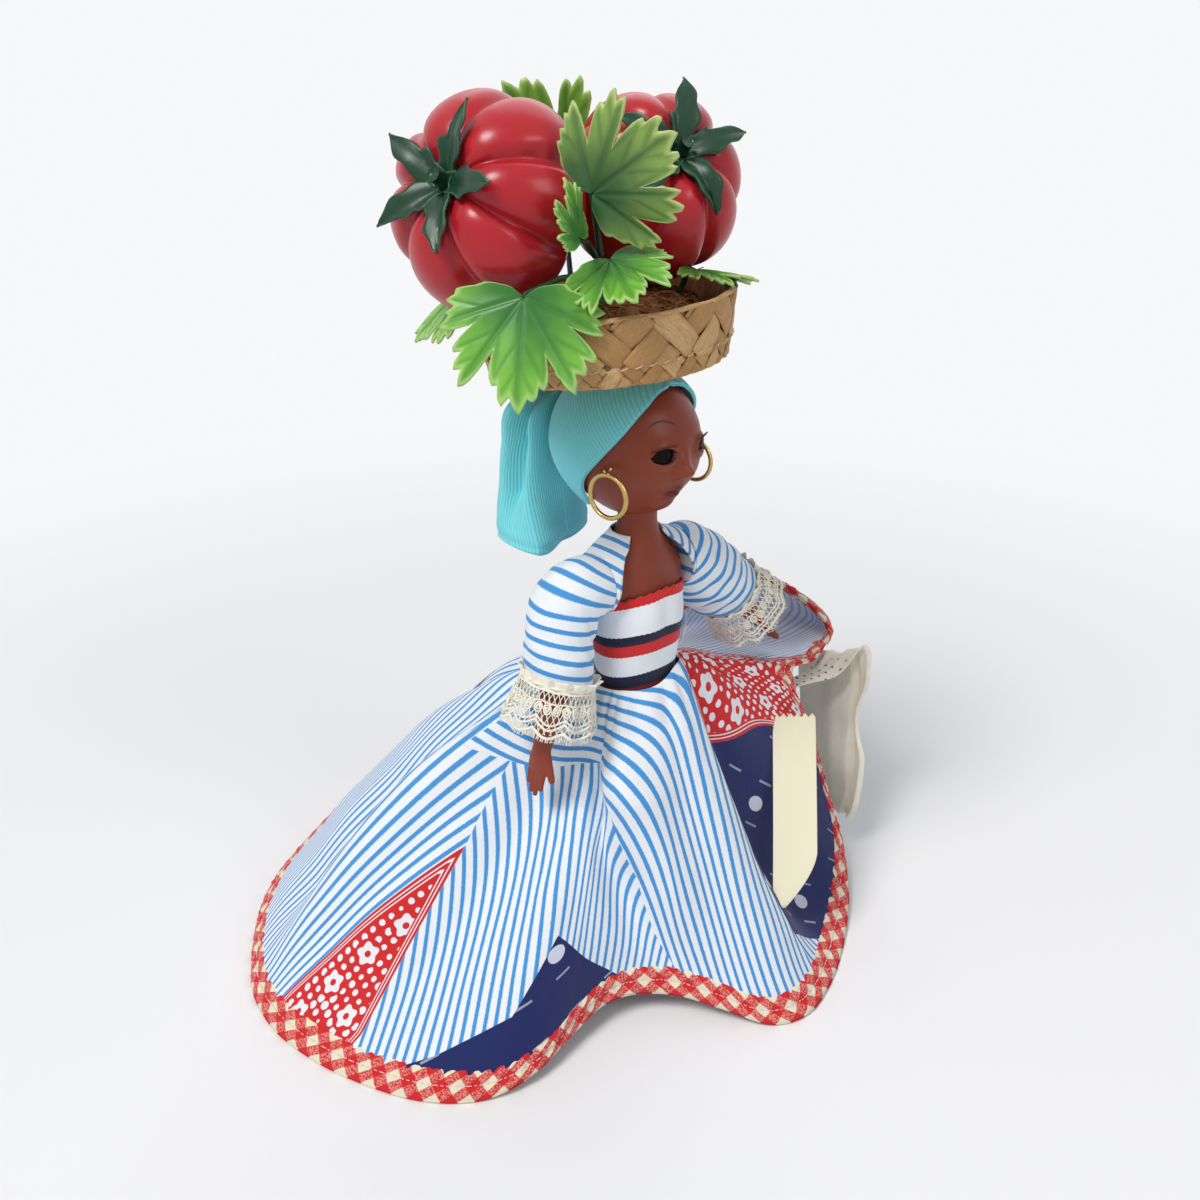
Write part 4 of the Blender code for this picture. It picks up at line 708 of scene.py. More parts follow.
def make_scarf(half, matrix, finish, slot):
    """Knit stretched over the skull, cut along a slanting edge in front of the ears, with a rolled hem."""
    heights, fronts = np.array(SCARF_EDGES[half]).T
    z = np.linspace(0.9996, -0.72, 100)
    ring = np.sqrt(1 - z * z)
    cut = smooth_steps(heights, fronts, np.clip(z * 17.5, heights[0], heights[-1])) / 17.6
    start = np.arcsin(np.clip(cut / ring, -1, 1))[:, None]
    a = start + (math.pi - 2 * start) * np.linspace(0, 1, 170)
    d = rings(a, ring[:, None], ring[:, None], z[:, None])
    points = head_surface(d, 1.15 * MM, face=False)
    points += d * (ripple(points, 9 * MM, 21) * 0.12 * MM)[..., None]
    ribs = (points[..., 1] * 0.76 - points[..., 2] * 0.65) / MM + 60
    points, body = moved(matrix, points), half + "_head_body"
    obj = grid(
        half + "_scarf_knit", points, finish, body, slot, half + "_headscarf", around=False, thickness=0.0007, across=ribs,
    )
    tubes(half + "_scarf_hem", [(points[1:, side], 0.30 * MM) for side in (0, -1)], finish, body, slot, sides=8)


def make_tail(finish):
    """The scarf's free end, doubled into a hanging bag with a deep fold between its two layers."""
    t = np.linspace(0, 1, 110)[:, None]
    keys, half_width, half_depth = np.array(TAIL).T
    width, depth = (smooth_steps(keys, v, t) for v in (half_width, half_depth))
    a = full_turn(220)
    c, s = np.cos(a), np.sin(a)
    back = 25.2 * (0.96 + 0.04 * np.sin(math.pi * t)) - 6.0 * np.exp(-t / 0.07)
    x = width * np.sign(c) * np.abs(c) ** 0.85 - 3.0
    points = np.stack(np.broadcast_arrays(x, depth * s + back, 17.5 - 5.5 - 43.0 * t), -1) * MM
    # the far side and the back hang shorter, the near front corner fuller and lower
    foot = np.clip((t - 0.35) / 0.65, 0, 1) ** 1.5
    points[..., 2] += foot * (3.4 + 2.4 * s - 0.2 * c) * MM
    points[..., 1] -= foot * (7.2 * np.clip(-c, 0, 1) * np.clip(0.4 - s, 0, 1)) * MM
    points = raised(points, 0.45 * MM * ripple(points * (1.3, 1, 0.4), 8 * MM, 31))
    # the gap between the layers opens to the doll's right and closes above the rounded foot
    middle = (back - 0.5 - 2.0 * t) * MM
    deep = 9.0 * np.clip(1.0 - t, 0, 1) ** 0.5 * np.clip((0.88 - t) / 0.25, 0, 1) * MM
    points[..., 0] += np.clip(-c * 2.2, 0, 1) * deep * bell(points[..., 1] - middle, 2.1 * MM)
    ribs = np.cumsum(np.linalg.norm(np.roll(points, -1, 1) - points, axis=2), 1).mean(0) / MM
    obj = grid(
        "scarf_tail_knit", moved(UPPER_SKULL, points), finish, HEAD, "aqua_knit", "upper_scarf_tail", closed=True,
        across=ribs,
    )


def make_earring(side, brass):
    centre, middle = (sum(map(Vector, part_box(node + side)), Vector()) / 2 for node in ("earring_hoop_", "earring_post_"))
    turn = UPPER_SKULL.to_3x3()
    ring = [centre + turn @ Vector((0, math.sin(b), math.cos(b))) * 5.0 * MM for b in np.linspace(0, 2 * math.pi, 65)]
    tubes("hoop_" + side, [(ring, 0.55 * MM)], brass, side + "_hoop", "brass", "earring_hoop_" + side, 10)
    out = turn @ Vector((dict(SIDES)[side] * MM, 0, 0))
    wire = [middle - out * 0.9, middle, middle + out * 1.3]
    tubes("hoop_wire_" + side, [(wire, 0.4 * MM)], brass, HEAD, "brass", "earring_post_" + side, 10)


# Basket and fruit


def straw_finish():
    f = Finish("plaited_straw", roughness=0.6)
    tint, along = f.attribute("tint"), f.attribute("across")
    fibre = f.node("TexNoise")
    fibre.inputs["Scale"].default_value = 9.0
    stretched = f.node("CombineXYZ", (along, f.math("MULTIPLY", f.attribute("along"), 0.06), tint))
    f.put(fibre.inputs["Vector"], stretched.outputs[0])
    colour = f.mix(tint, (0.44, 0.235, 0.085), (0.74, 0.49, 0.23))
    dark = f.mix(0.45, colour, (0.22, 0.095, 0.028))
    colour = f.mix(f.rise(fibre.outputs[0], 0.35, 0.7), dark, colour)
    return f.set(Base_Color=colour).bump(fibre.outputs[0], 0.5, 0.0003).material


# Outlines of radii and heights: the inside of the basket's wall, and the mound of its filling
WALL = [
    (26.0, 0.3), (26.7, 4.3), (27.4, 9.0), (28.2, 14.2), (27.6, 14.2), (26.8, 9.0), (26.0, 4.3), (25.6, 0.3),
]
MOUND = ((0.2, 13.6), (8, 13.4), (15, 12.8), (20, 11.2), (23, 8.6), (24.4, 4.5), (24.6, 1.6))


def wall_radius(z):
    return np.interp(z, (-1, 0, BASKET_HEIGHT / MM, 20), (26.9, 27.0, 29.2, 29.4))


def make_plait(name, low, high, count, strip, lift, finish, rng, node=None):
    """Strips that cross both ways, each over two and under two."""
    spacing = 2 * math.pi / count
    z, side = np.linspace(low - 0.4, high + 0.4, 34)[:, None], np.linspace(-1, 1, 7)
    shift = side * strip / 2
    verts, faces, layers = [], [], []
    for lean in (1, -1):
        here = z - lean * shift * 0.7071
        for k in range(count):
            shade, wobble, slack = rng.uniform(0, 1), rng.uniform(-0.25, 0.25), rng.uniform(0.85, 1.2)
            crossing = (2 * k + lean * (z - low) / spacing / 14) / 4 + 0.125
            weave = lean * lift * slack * np.clip(1.6 * np.sin(2 * math.pi * crossing), -1, 1)
            angle = spacing * k + (lean * (z - low) + wobble + shift * 0.7071) / 28
            radius = wall_radius(here) - 0.3 + weave + lift * 0.5 * (1 - side * side)
            faces += grid_faces(34, 7, False, len(verts))
            verts += list(rings(angle, radius, radius, np.clip(here, low - 0.2, high + 0.2)).reshape(-1, 3))
            layers.append(np.stack(np.broadcast_arrays(shade, z * 1.4 + k * 7.0, shift + k * 3.0)).reshape(3, -1))
    tint, along, across = np.concatenate(layers, 1)
    object_from(
        name, moved(SEAT, np.array(verts) * MM), faces, finish, HEAD, "straw", node, 0.0003,
        tint=tint, along=along, across=across,
    )


def make_straw_ring(name, profile, tint, finish, node=None):
    """A turned band of straw from its outline of radii and heights."""
    angles, profile = full_turn(220), np.array(profile)
    r = profile[:, :1] + 0.12 * np.sin(41 * angles) * np.sin(7 * angles)
    points = rings(angles, r, r, profile[:, 1:] + 0.10 * np.sin(13 * angles))
    grid(
        name, moved(SEAT, points * MM), finish, HEAD, "straw", node, along=angles * 28,
        across=np.arange(1, len(profile) + 1)[:, None] / 2, tint=tint + 0.25 * np.sin(angles * 23 + profile[:, 1:]),
    )


def make_basket():
    straw = straw_finish()
    rng = np.random.default_rng(4)
    make_plait("basket_plait_wide", 3.9, BASKET_HEIGHT / MM - 0.4, 22, 5.4, 0.48, straw, rng, "basket_wall")
    make_plait("basket_plait_low", 0.4, 4.3, 40, 3.0, 0.34, straw, rng)
    make_straw_ring("basket_wall_inside", WALL + WALL[:1], 0.25, straw)
    rim = [(28.75 + 0.75 * math.cos(b), 14.2 + 0.5 * math.sin(b)) for b in np.linspace(0, 2 * math.pi, 13)]
    make_straw_ring("basket_rim", rim, 0.65, straw)
    base = [(0.3, 1.2)] + [(r, 1.2) for r in np.linspace(4, 26.4, 12)] + [(26.9, 0.7), (26.7, 0.1)]
    base += [(r, 0.12 + 0.1 * math.cos(r * 2.2)) for r in np.linspace(26, 0.3, 60)]
    make_straw_ring("basket_base_sewn", base, 0.4, straw, "basket_base")
    t = np.linspace(0, 1, 6)
    radius = wall_radius(4.4) + 0.35 + 0.35 * np.sin(math.pi * t)
    stitches = []
    for a in full_turn(58):
        line = rings(a + 0.055 * t, radius, radius, 4.1 + 0.5 * t + 0.35 * math.sin(a * 3))
        stitches.append((moved(SEAT, line * MM), 0.12 * MM))
    thread = plastic("pale_thread", (0.62, 0.50, 0.33), 0.7)
    tubes("basket_stitches", stitches, thread, HEAD, "straw", sides=4)
    make_filling(rng)


def make_filling(rng):
    """Brown raffia that fills the basket, with loose strands on top and a few over the rim."""
    f = Finish("brown_raffia", roughness=0.75)
    f.set(Base_Color=f.mix(f.noise(500, 3), (0.20, 0.065, 0.022), (0.52, 0.25, 0.095)))
    fine = smooth_steps(np.arange(7.0), MOUND, np.linspace(0, 6, 44))
    points = rings(full_turn(120), fine[:, :1], fine[:, :1], fine[:, 1:]) * MM
    points[..., 2] += 0.5 * MM * ripple(points, 2.5 * MM, 44)
    grid("raffia_mound", moved(SEAT, points), f.material, HEAD, "raffia", "basket_filler", closed=True)
    paths = []
    for _ in range(190):
        a, r = rng.uniform(0, 2 * math.pi), 24.0 * rng.uniform(0.1, 1) ** 0.5
        turn, curl = rng.uniform(0, 2 * math.pi), rng.uniform(-0.22, 0.22)
        x, y = r * math.cos(a), r * math.sin(a)
        line = []
        for s in range(9):
            far = math.hypot(x, y)
            if far > 25.0:
                x, y = x * 25.0 / far, y * 25.0 / far
            height = np.interp(min(far, 25.0), fine[:, 0], fine[:, 1]) + 0.7 + 0.7 * math.sin(s + a)
            line.append((x, y, min(height, 14.0)))
            turn += curl
            x += 1.3 * math.cos(turn)
            y += 1.3 * math.sin(turn)
        paths.append((moved(SEAT, np.array(line) * MM), rng.uniform(0.12, 0.28) * MM))
    t = np.linspace(0, 1, 8)
    for a, rise in ((-0.15, 3.0), (-0.05, 4.0), (0.05, 5.0), (0.12, 2.5), (-0.25, 2.0)):
        line = rings(a, 24 + 6 * t, 24 + 6 * t, 13.0 + rise * np.sin(t * 1.6))
        paths.append((moved(SEAT, line * MM), 0.14 * MM))
    tubes("raffia_strands", paths, f.material, HEAD, "raffia", sides=4)


def aimed(side, back, rise, heading, pitch):
    heading, pitch = math.radians(heading), math.radians(pitch)
    aim = Vector((math.cos(pitch) * math.cos(heading), math.cos(pitch) * math.sin(heading), math.sin(pitch)))
    return SEAT @ Matrix.Translation((side, back, rise)) @ aim.to_track_quat("Z", "Y").to_matrix().to_4x4()


def tomato_surface(d, half_width, half_height, seed):
    """Lobed fruit: grooves run from the dimple at the calyx and fade past the widest part."""
    x, y, z = d[..., 0], d[..., 1], d[..., 2]
    around, flat = np.arctan2(y, x), np.hypot(x, y)
    lobe = np.abs(np.cos((around + 0.10 * np.sin(around * 2 + seed)) * 3.5))
    fade = np.clip((z + 0.75) / 1.1, 0, 1)
    rib = 1 - 0.085 * (1 - lobe**0.8) * flat**0.5 - 0.085 * bell(lobe, 0.34) * fade
    swell = (0.10 * lobe**0.7 - 0.05) * np.sin(math.pi * np.clip(flat, 0, 1)) * np.clip(z * 1.5, 0, 1)
    height = z * (1 - 0.30 * bell(flat, 0.34)) + swell
    return np.stack([x * half_width * rib, y * half_width * rib, height * half_height], -1)


def tomato_finish(name):
    f = Finish("tomato_red_" + name, roughness=0.30, Coat_Weight=0.18, Coat_Roughness=0.16, Subsurface_Weight=0.08)
    f.set(Subsurface_Scale=0.002, Subsurface_Radius=(1.0, 0.1, 0.1))
    shade = f.mix(f.noise(90, 3), (0.36, 0.008, 0.016), (0.48, 0.018, 0.026))
    shade = f.mix(f.math("MULTIPLY", f.rise(f.attribute("pole"), 0.35, 0.0), 0.35), shade, (0.62, 0.06, 0.03))
    return f.set(Base_Color=shade).bump(f.noise(420, 3), 0.10, 0.0003).material


def make_tomato(name, place, half_width, half_height, seed, green):
    d = sphere(150, 260, 0.004)
    grid(
        name + "_skin", moved(place, tomato_surface(d, half_width, half_height, seed)), tomato_finish(name), HEAD,
        "red_plastic", name, closed=True, pole=np.hypot(d[..., 0], d[..., 1]),
    )
    make_calyx(name, place, half_width, half_height, seed, green)
    foot = half_height * 0.66
    line = moved(place, [(0, 0, foot), (0.0002, 0, foot + 0.003), (0.0006, 0.0004, foot + 0.0062)])
    tubes(name + "_stem", [(line, (0.0019, 0.0013, 0.0015))], green, HEAD, "calyx_green", sides=10)


def make_calyx(name, place, half_width, half_height, seed, green):
    """Five sepals: narrow, toothed, folded along the middle, and lifted at the tip."""
    rng = np.random.default_rng(int(seed * 10))
    t, side = np.linspace(0, 1, 22)[:, None], np.linspace(-1, 1, 9)
    wide = smooth_steps((0, 0.12, 0.3, 0.55, 0.8, 1.0), (2.2, 2.3, 3.0, 2.7, 1.6, 0.10), t)
    fold = 0.35 + 0.9 * np.abs(side) * (1 - t * 0.5)
    verts, faces = [], []
    for k in range(5):
        turn = 2 * math.pi * k / 5 + rng.uniform(-0.12, 0.12)
        reach = rng.uniform(0.9, 1.0) * 16.4
        curl, twist = rng.uniform(2.0, 5.0), rng.uniform(-0.5, 0.5)
        x = side * wide * (1 + 0.16 * np.sin(t * 17 + k) * ((t > 0.15) & (t < 0.95)))
        y = 0.6 + reach * t
        far = np.minimum(0.97, np.hypot(x, y) / half_width * MM)
        probe = rings(np.arctan2(y, x) + turn - math.pi / 2, far, far, np.sqrt(1 - far * far))
        points = tomato_surface(probe, half_width, half_height, seed)
        points[..., :2] *= (1 + 0.10 * np.clip(t - 0.5, 0, None))[..., None]
        points[..., 0] += twist * t * MM
        points[..., 2] += (0.75 + fold * 0.7 + curl * np.clip(t - 0.35, 0, None) ** 2 * 2.2) * MM
        faces += grid_faces(22, 9, False, len(verts))
        verts += list(points.reshape(-1, 3))
    object_from(
        name + "_sepals", moved(place, verts), faces, green, HEAD, "calyx_green", name + "_calyx", 0.0005, False,
        vein=np.tile(np.abs(side) * wide, (5, 1)), rim=np.tile(np.abs(side), 5 * 22),
    )


def leaf_veins(a, r, length):
    """Distance from the nearest vein, in millimetres. Each main vein has four side veins."""
    veins = np.full(r.shape, 9.0)
    for v in (math.radians(angle * sign) for angle in VEIN_ANGLES for sign in (1, -1)):
        veins = np.minimum(veins, np.abs(r * np.sin(a - v)) / MM + (np.cos(a - v) < 0) * 9)
        for start in (0.35, 0.6):
            px, py = (r * f(a) - start * length * f(v) for f in (np.sin, np.cos))
            for lean in (0.55, -0.55):
                ux, uy = math.sin(v + lean), math.cos(v + lean)
                behind = px * ux + py * uy < 0
                veins = np.minimum(veins, np.abs(px * uy - py * ux) / MM + behind * 9 + 0.5)
    return veins


LEAVES = (
    ("leaf_front_low", (-0.45, -0.28, 0.80), (-1.21, -0.24, 0.76), (-1.53, -0.33, -0.02), (-0.80, -0.59, 0.30), 1.0),
    ("leaf_front_middle", (-0.42, -0.38, 0.70), (-0.56, -0.54, 0.92), (-0.91, -1.01, 0.69), (-0.60, -0.40, 0.70), 0.9),
    ("leaf_front_strip", (-0.38, -0.26, 0.90), (-0.87, -0.54, 1.12), (-1.01, -0.58, 1.54), (0.20, -0.90, 0.00), 0.35),
    ("leaf_front_high", (-0.31, -0.26, 0.90), (-0.66, -0.50, 1.38), (-0.50, -1.14, 1.76), (-0.80, -0.59, 0.11), 1.0),
    ("leaf_top_back", (0.42, 0.68, 0.42), (0.63, 0.86, 1.38), (0.27, 1.07, 2.18), (0.70, 0.60, 0.20), 1.0),
    ("leaf_left_low", (-0.26, 0.46, 0.57), (-0.36, 1.06, 0.72), (-0.72, 1.58, 0.20), (-0.50, 0.40, 0.70), 1.0),
    ("leaf_right_low", (0.30, -0.55, 0.51), (0.43, -0.61, 0.68), (0.56, -1.14, 0.58), (0.30, -0.30, 1.00), 0.8),
)
LOBES = (
    (0, 1.00), (4, 0.90), (6, 0.86), (9, 0.93), (12, 0.90), (14, 0.80), (17, 0.84), (20, 0.78), (23, 0.66), (26, 0.50),
    (28, 0.62), (30, 0.80), (33, 0.91), (36, 0.86), (38, 0.80), (42, 0.89), (45, 0.84), (47, 0.74), (51, 0.80),
    (54, 0.76), (57, 0.64), (61, 0.46), (64, 0.60), (67, 0.72), (70, 0.78), (74, 0.70), (77, 0.74), (80, 0.64),
    (85, 0.68), (89, 0.58), (94, 0.57), (100, 0.44), (108, 0.38), (116, 0.22), (125, 0.12),
)
VEIN_ANGLES = (0, 34, 71)


def leaf_finish(name, deep, bright, edge):
    f = Finish(name, roughness=0.36, Coat_Weight=0.12, Coat_Roughness=0.25, Subsurface_Weight=0.1)
    f.set(Subsurface_Scale=0.001)
    blotch = f.math("MULTIPLY_ADD", f.noise(120, 2), 0.5, f.math("SUBTRACT", f.attribute("reach"), 0.25))
    colour = f.mix(f.rise(blotch, 0.10, 0.80), deep, bright)
    colour = f.mix(f.math("MULTIPLY", f.rise(f.attribute("vein"), 1.5, 0.1), 0.55), colour, deep)
    colour = f.mix(f.math("MULTIPLY", f.rise(f.attribute("rim"), 0.88, 1.0), 0.7), colour, edge)
    return f.set(Base_Color=colour).bump(f.noise(500, 2), 0.15, 0.0003).material


def make_leaf(row, finish, green, seed):
    """Leaf with toothed lobes, sunken veins and a soft roll, on its wire."""
    name, foot, root, tip, facing, spread = row
    foot, root, tip = (Vector(p) * BASKET_RADIUS for p in (foot, root, tip))
    along, length = (tip - root).normalized(), (tip - root).length
    across = along.cross(Vector(facing)).normalized()
    turn = Matrix((across, along, across.cross(along))).transposed().to_4x4()
    rng = np.random.default_rng(seed)
    half = np.array(LOBES, float)
    angles, reach = np.concatenate([half[::-1] * (-1, 1), half[1:]]).T
    dense = np.linspace(angles[0], angles[-1], 401)
    reach = np.interp(dense + 1.2 * np.sin(dense * 0.11 + seed), angles, reach)
    reach = reach * (1 + 0.05 * np.sin(dense * 0.21 + seed) * (np.abs(dense) > 8)) * length
    t, a = np.linspace(0.02, 1, 22)[:, None], np.radians(dense)
    r = t * reach
    x, y = r * np.sin(a) * (0.55 + 0.45 * spread), r * np.cos(a)
    veins = leaf_veins(a, r, length)
    far = r / length
    roll = rng.uniform(0.10, 0.2)
    z = -0.05 * length * far**2 - roll * length * (x / length) ** 2 * 0.8
    z = z + 0.045 * length * np.sin(2.6 * np.abs(a) + 1.2) * far + 0.0005 * far * np.sin(6 * a + seed)
    z = z - 0.00030 * bell(veins, 0.6)
    place = SEAT @ Matrix.Translation(root) @ turn
    grid(
        name + "_blade", moved(place, np.stack([x, y, z], -1)), finish, HEAD, "leaf_green", name, around=False,
        thickness=0.00055, reach=far, vein=veins, rim=t,
    )
    under = across.cross(along) * 0.0007
    line = [foot, foot.lerp(root, 0.5) + Vector((0, 0, 0.0008)), root - along * 0.0006 - under]
    line.append(root + along * length * 0.12 - under * 1.5)
    wire = (moved(SEAT, line), (0.0007, 0.0006, 0.0004, 0.0002))
    tubes(name + "_wire", [wire], green, HEAD, "leaf_green", sides=8)


# Skirt

FOLDS = np.array(
    (
        (0, 280, 920, 780, 740, 690, 860), (5, 285, 900, 980, 640, 670, 950), (11, 300, 860, 1000, 620, 640, 1020),
        (18, 330, 830, 980, 600, 600, 1060), (27, 370, 800, 970, 580, 575, 1020), (38, 400, 800, 890, 550, 650, 800),
        (50, 433, 850, 830, 490, 760, 520), (64, 467, 950, 800, 430, 860, 240), (79, 490, 960, 760, 370, 960, 6),
        (96, 475, 950, 740, 330, 990, 3), (118, 450, 950, 690, 330, 938, 3), (132, 445, 960, 690, 350, 925, 3),
        (148, 433, 950, 690, 385, 888, 3), (158, 300, 850, 617, 360, 847, 3), (167, 210, 745, 517, 310, 786, 3),
        (176, 167, 690, 450, 262, 723, 3), (186, 158, 667, 417, 262, 658, 3), (195, 158, 690, 383, 286, 583, 3),
        (202, 165, 700, 340, 280, 500, 32), (207, 185, 715, 300, 290, 380, 55), (214, 195, 730, 265, 310, 300, 80),
        (228, 192, 725, 215, 340, 262, 90), (248, 180, 715, 215, 310, 275, 80), (262, 175, 740, 262, 250, 330, 50),
        (274, 190, 760, 310, 200, 417, 3), (284, 200, 770, 333, 190, 464, 3), (297, 200, 760, 325, 190, 481, 3),
        (311, 183, 714, 250, 214, 503, 3), (327, 175, 786, 333, 238, 549, 40), (339, 217, 929, 417, 476, 587, 130),
        (345, 250, 952, 450, 619, 573, 300), (349, 260, 952, 430, 800, 530, 560), (352, 265, 950, 380, 890, 470, 835),
        (356, 270, 940, 480, 840, 600, 810),
    ),
    float,
)
COLUMNS = 720
# Soft folds: start angle, turn per millimetre, first length, half width and height in millimetres
SOFT_FOLDS = (
    (3.34, 0.0014, 36, 6.0, 2.2), (3.20, 0.0010, 12, 6.0, 1.4), (3.05, 0.0005, 12, 4.5, -1.2),
    (2.92, -0.0005, 8, 5.0, 1.0), (2.60, 0.0010, 10, 7.0, 2.4), (2.36, 0.0020, 8, 8.0, -3.4),
    (2.08, 0.0010, 10, 7.0, 2.2), (1.86, 0.0, 8, 7.0, -2.2), (1.62, 0.001, 8, 7.0, 1.8),
    (1.35, 0.0, 8, 7.0, -2.0), (1.05, 0.0, 10, 7.0, 1.8), (0.75, 0.0, 10, 5.0, -1.2),
    (4.35, 0.0010, 10, 6.0, 0.9), (4.95, 0.0, 8, 5.0, 0.8), (5.45, 0.0, 8, 5.0, -0.8),
)
FLAT_CENTRE = 11.4


def fold_lines(count):
    """Control points of the skirt's fold lines, evenly numbered round the waist."""
    a = np.radians(FOLDS[:, 0])
    out = np.stack([np.cos(a), np.sin(a)], 1)
    points = [np.column_stack([out * (11.7, 9.7), np.full(len(a), 82.6)])]
    for k in (1, 3, 5):
        points.append(np.column_stack([out * FOLDS[:, k : k + 1] * 0.12, FOLDS[:, k + 1] * 0.083]))
    points = np.stack(points, 1) * MM
    place = np.arange(count) / count * len(a)
    index = np.floor(place).astype(int)
    t = (place - index)[:, None, None]
    p0, p1, p2, p3 = (points[(index + k) % len(a)] for k in (-1, 0, 1, 2))
    return (p1 * 2 + (p2 - p0) * t + (p0 * 2 - p1 * 5 + p2 * 4 - p3) * t**2 + (p1 * 3 - p0 - p2 * 3 + p3) * t**3) / 2


def walk(lines):
    """Fine points along every fold line, with the length walked to each."""
    t = np.linspace(0, 1, 241)[None, :, None]
    s = 1 - t
    fine = lines[:, :1] * s**3 + lines[:, 1:2] * 3 * s * s * t + lines[:, 2:3] * 3 * s * t * t + lines[:, 3:4] * t**3
    steps = np.linalg.norm(np.diff(fine, axis=1), axis=2)
    return fine, np.concatenate([np.zeros((len(lines), 1)), np.cumsum(steps, 1)], 1)


def at_lengths(fine, walked, lengths):
    """Points at the wanted lengths: one row of points for each row of lengths."""
    points = np.zeros((lengths.shape[0], len(fine), 3))
    for i in range(len(fine)):
        for k in range(3):
            points[:, i, k] = np.interp(lengths[:, i], walked[i], fine[i, :, k])
    return points


def wrapped(angle, whole):
    return (angle + whole / 2) % whole - whole / 2


def front_fold_edge(s):
    """The line where the skirt's great front fold turns under."""
    return np.interp(s, (12, 19, 30.6, 44.3, 60.3, 74.4, 104), (3.56, 3.604, 3.714, 3.84, 3.915, 4.015, 4.12))


# Seams between the gores: their angle near the waist, half way and at the hem
SEAMS = (
    (2.62, 2.62, 2.62), (2.76, 2.92, 3.07), (3.56, 3.86, 4.12), (4.70, 4.47, 4.50),
    (5.75, 5.75, 5.75), (6.90, 6.95, 7.0), (7.55, 7.55, 7.55), (8.10, 8.15, 8.20),
)
STRIPE_LEANS = (2.69, 3.60, 4.24, 4.62, 6.42, 7.05, 8.05, 8.95)


def skirt_pattern(phi, whole, s):
    """Where the gores, patches and prints lie, from the flat angle and the length from the waist."""
    r = s + FLAT_CENTRE

    def seen_from(angle):
        """Angle from a line through the centre of the flat skirt, and the places across and along it."""
        about = wrapped(phi - angle, whole)
        return about, r * np.sin(about), r * np.cos(about)

    edges = [np.interp(s, (12, 50, 104), seam) for seam in SEAMS]
    edges[2] = front_fold_edge(s)
    # level stripes under the waist turn a rounded corner into those of the great fold
    level, hanging = seen_from(3.45)[2] - 12.3, -seen_from(4.24)[1]
    turned = 200 - 2.2 * np.log(np.exp(-level / 2.2) + np.exp(-hanging / 2.2))
    across, best = np.zeros((2, *phi.shape)), np.full((2, *phi.shape), 9.0)
    for k, lean in enumerate(STRIPE_LEANS):
        start, end = edges[k], edges[(k + 1) % 8] + (whole if k == 7 else 0)
        near = np.abs(wrapped(phi - (start + end) / 2, whole)) - (end - start) / 2
        stripes = turned if k == 2 else seen_from(lean)[1] + 200 + k * 3.1
        across[k % 2] = np.where(near < best[k % 2], stripes, across[k % 2])
        best[k % 2] = np.minimum(near, best[k % 2])
    about, x, y = seen_from(3.6)
    waist = np.where(np.abs(about) > 1.4, -5.0, np.minimum(27.6 - y, (about + 0.95) * r))
    # the red patches: a wedge at the left, one over the great fold's right side, and one behind
    about, x, y = seen_from(2.92)
    red = np.minimum((x * 58.6 + (y - 62) * 14.2) / 60.3, -wrapped(phi - edges[1], whole) * r)
    red = np.where(np.abs(about) > 0.9, -9.0, red)
    behind, x, y = seen_from(6.35)
    top = np.minimum(46 - y, (0.62 - np.abs(behind)) * r)
    about, x, y = seen_from(5.0)
    lap = np.maximum(np.minimum((1.1 - about) * r, wrapped(phi - edges[3], whole) * r), -9)
    lap = np.where(np.abs(about) > 1.6, -9.0, lap)
    below = (y - 40.4 - x * 0.96) / 1.386
    red = np.maximum(red, np.maximum(np.minimum(lap, -below), top))
    # the navy patches: below the right one, and along the hem in front
    above_line = ((x + 40.8) * 27.7 - (y - 84.5) * 9.6) / 29.3
    navy = np.minimum(np.minimum(lap, below), above_line)
    navy = np.where(np.abs(about) > 1.4, -9.0, navy)
    about, x, y = seen_from(3.436)
    floor = np.interp(x, (-40, -20, -5, 0, 14, 33, 60), (122, 107, 92, 70.6, 75.1, 80.4, 90))
    navy = np.maximum(navy, np.where(np.abs(about) < 1.0, np.clip((y - floor) * 0.6, -9, 9), -9.0))
    # a wedge of each at the back
    patches = [red, navy]
    for k, (angle, reach) in enumerate(((1.25, 62), (1.72, 72))):
        about, x, y = seen_from(angle)
        wedge = np.where(np.abs(about) < 0.9, (y - reach) * 0.35 - np.abs(x) * 0.9, -9.0)
        patches[k] = np.maximum(patches[k], wedge)
    about, p, q = seen_from(2.69)
    right = np.abs(seen_from(5.35)[0]) < 1.6
    about, x, y = seen_from(5.23)
    return {
        "across_even": across[0], "across_odd": across[1], "gore": (best[1] - best[0]) * r / 2,
        "waist_gore": waist, "across_waist": turned, "red_patch": patches[0], "navy_patch": patches[1],
        "print_p": np.where(right, x + 3.0, p) + 300, "print_q": np.where(right, y, q) + 300,
        "pale": np.clip((0.55 - np.abs(seen_from(0.30)[0])) * 8, 0, 1) * np.clip((s - 38) / 8, 0, 1),
    }


def waist_lift(points):
    """How much higher the cloth stands at the waist, by its bearing, in millimetres."""
    bearing = np.degrees(np.arctan2(points[..., 1], points[..., 0]))
    return 4.4 + 3.2 * bell(wrapped(bearing - 305, 360), 34)


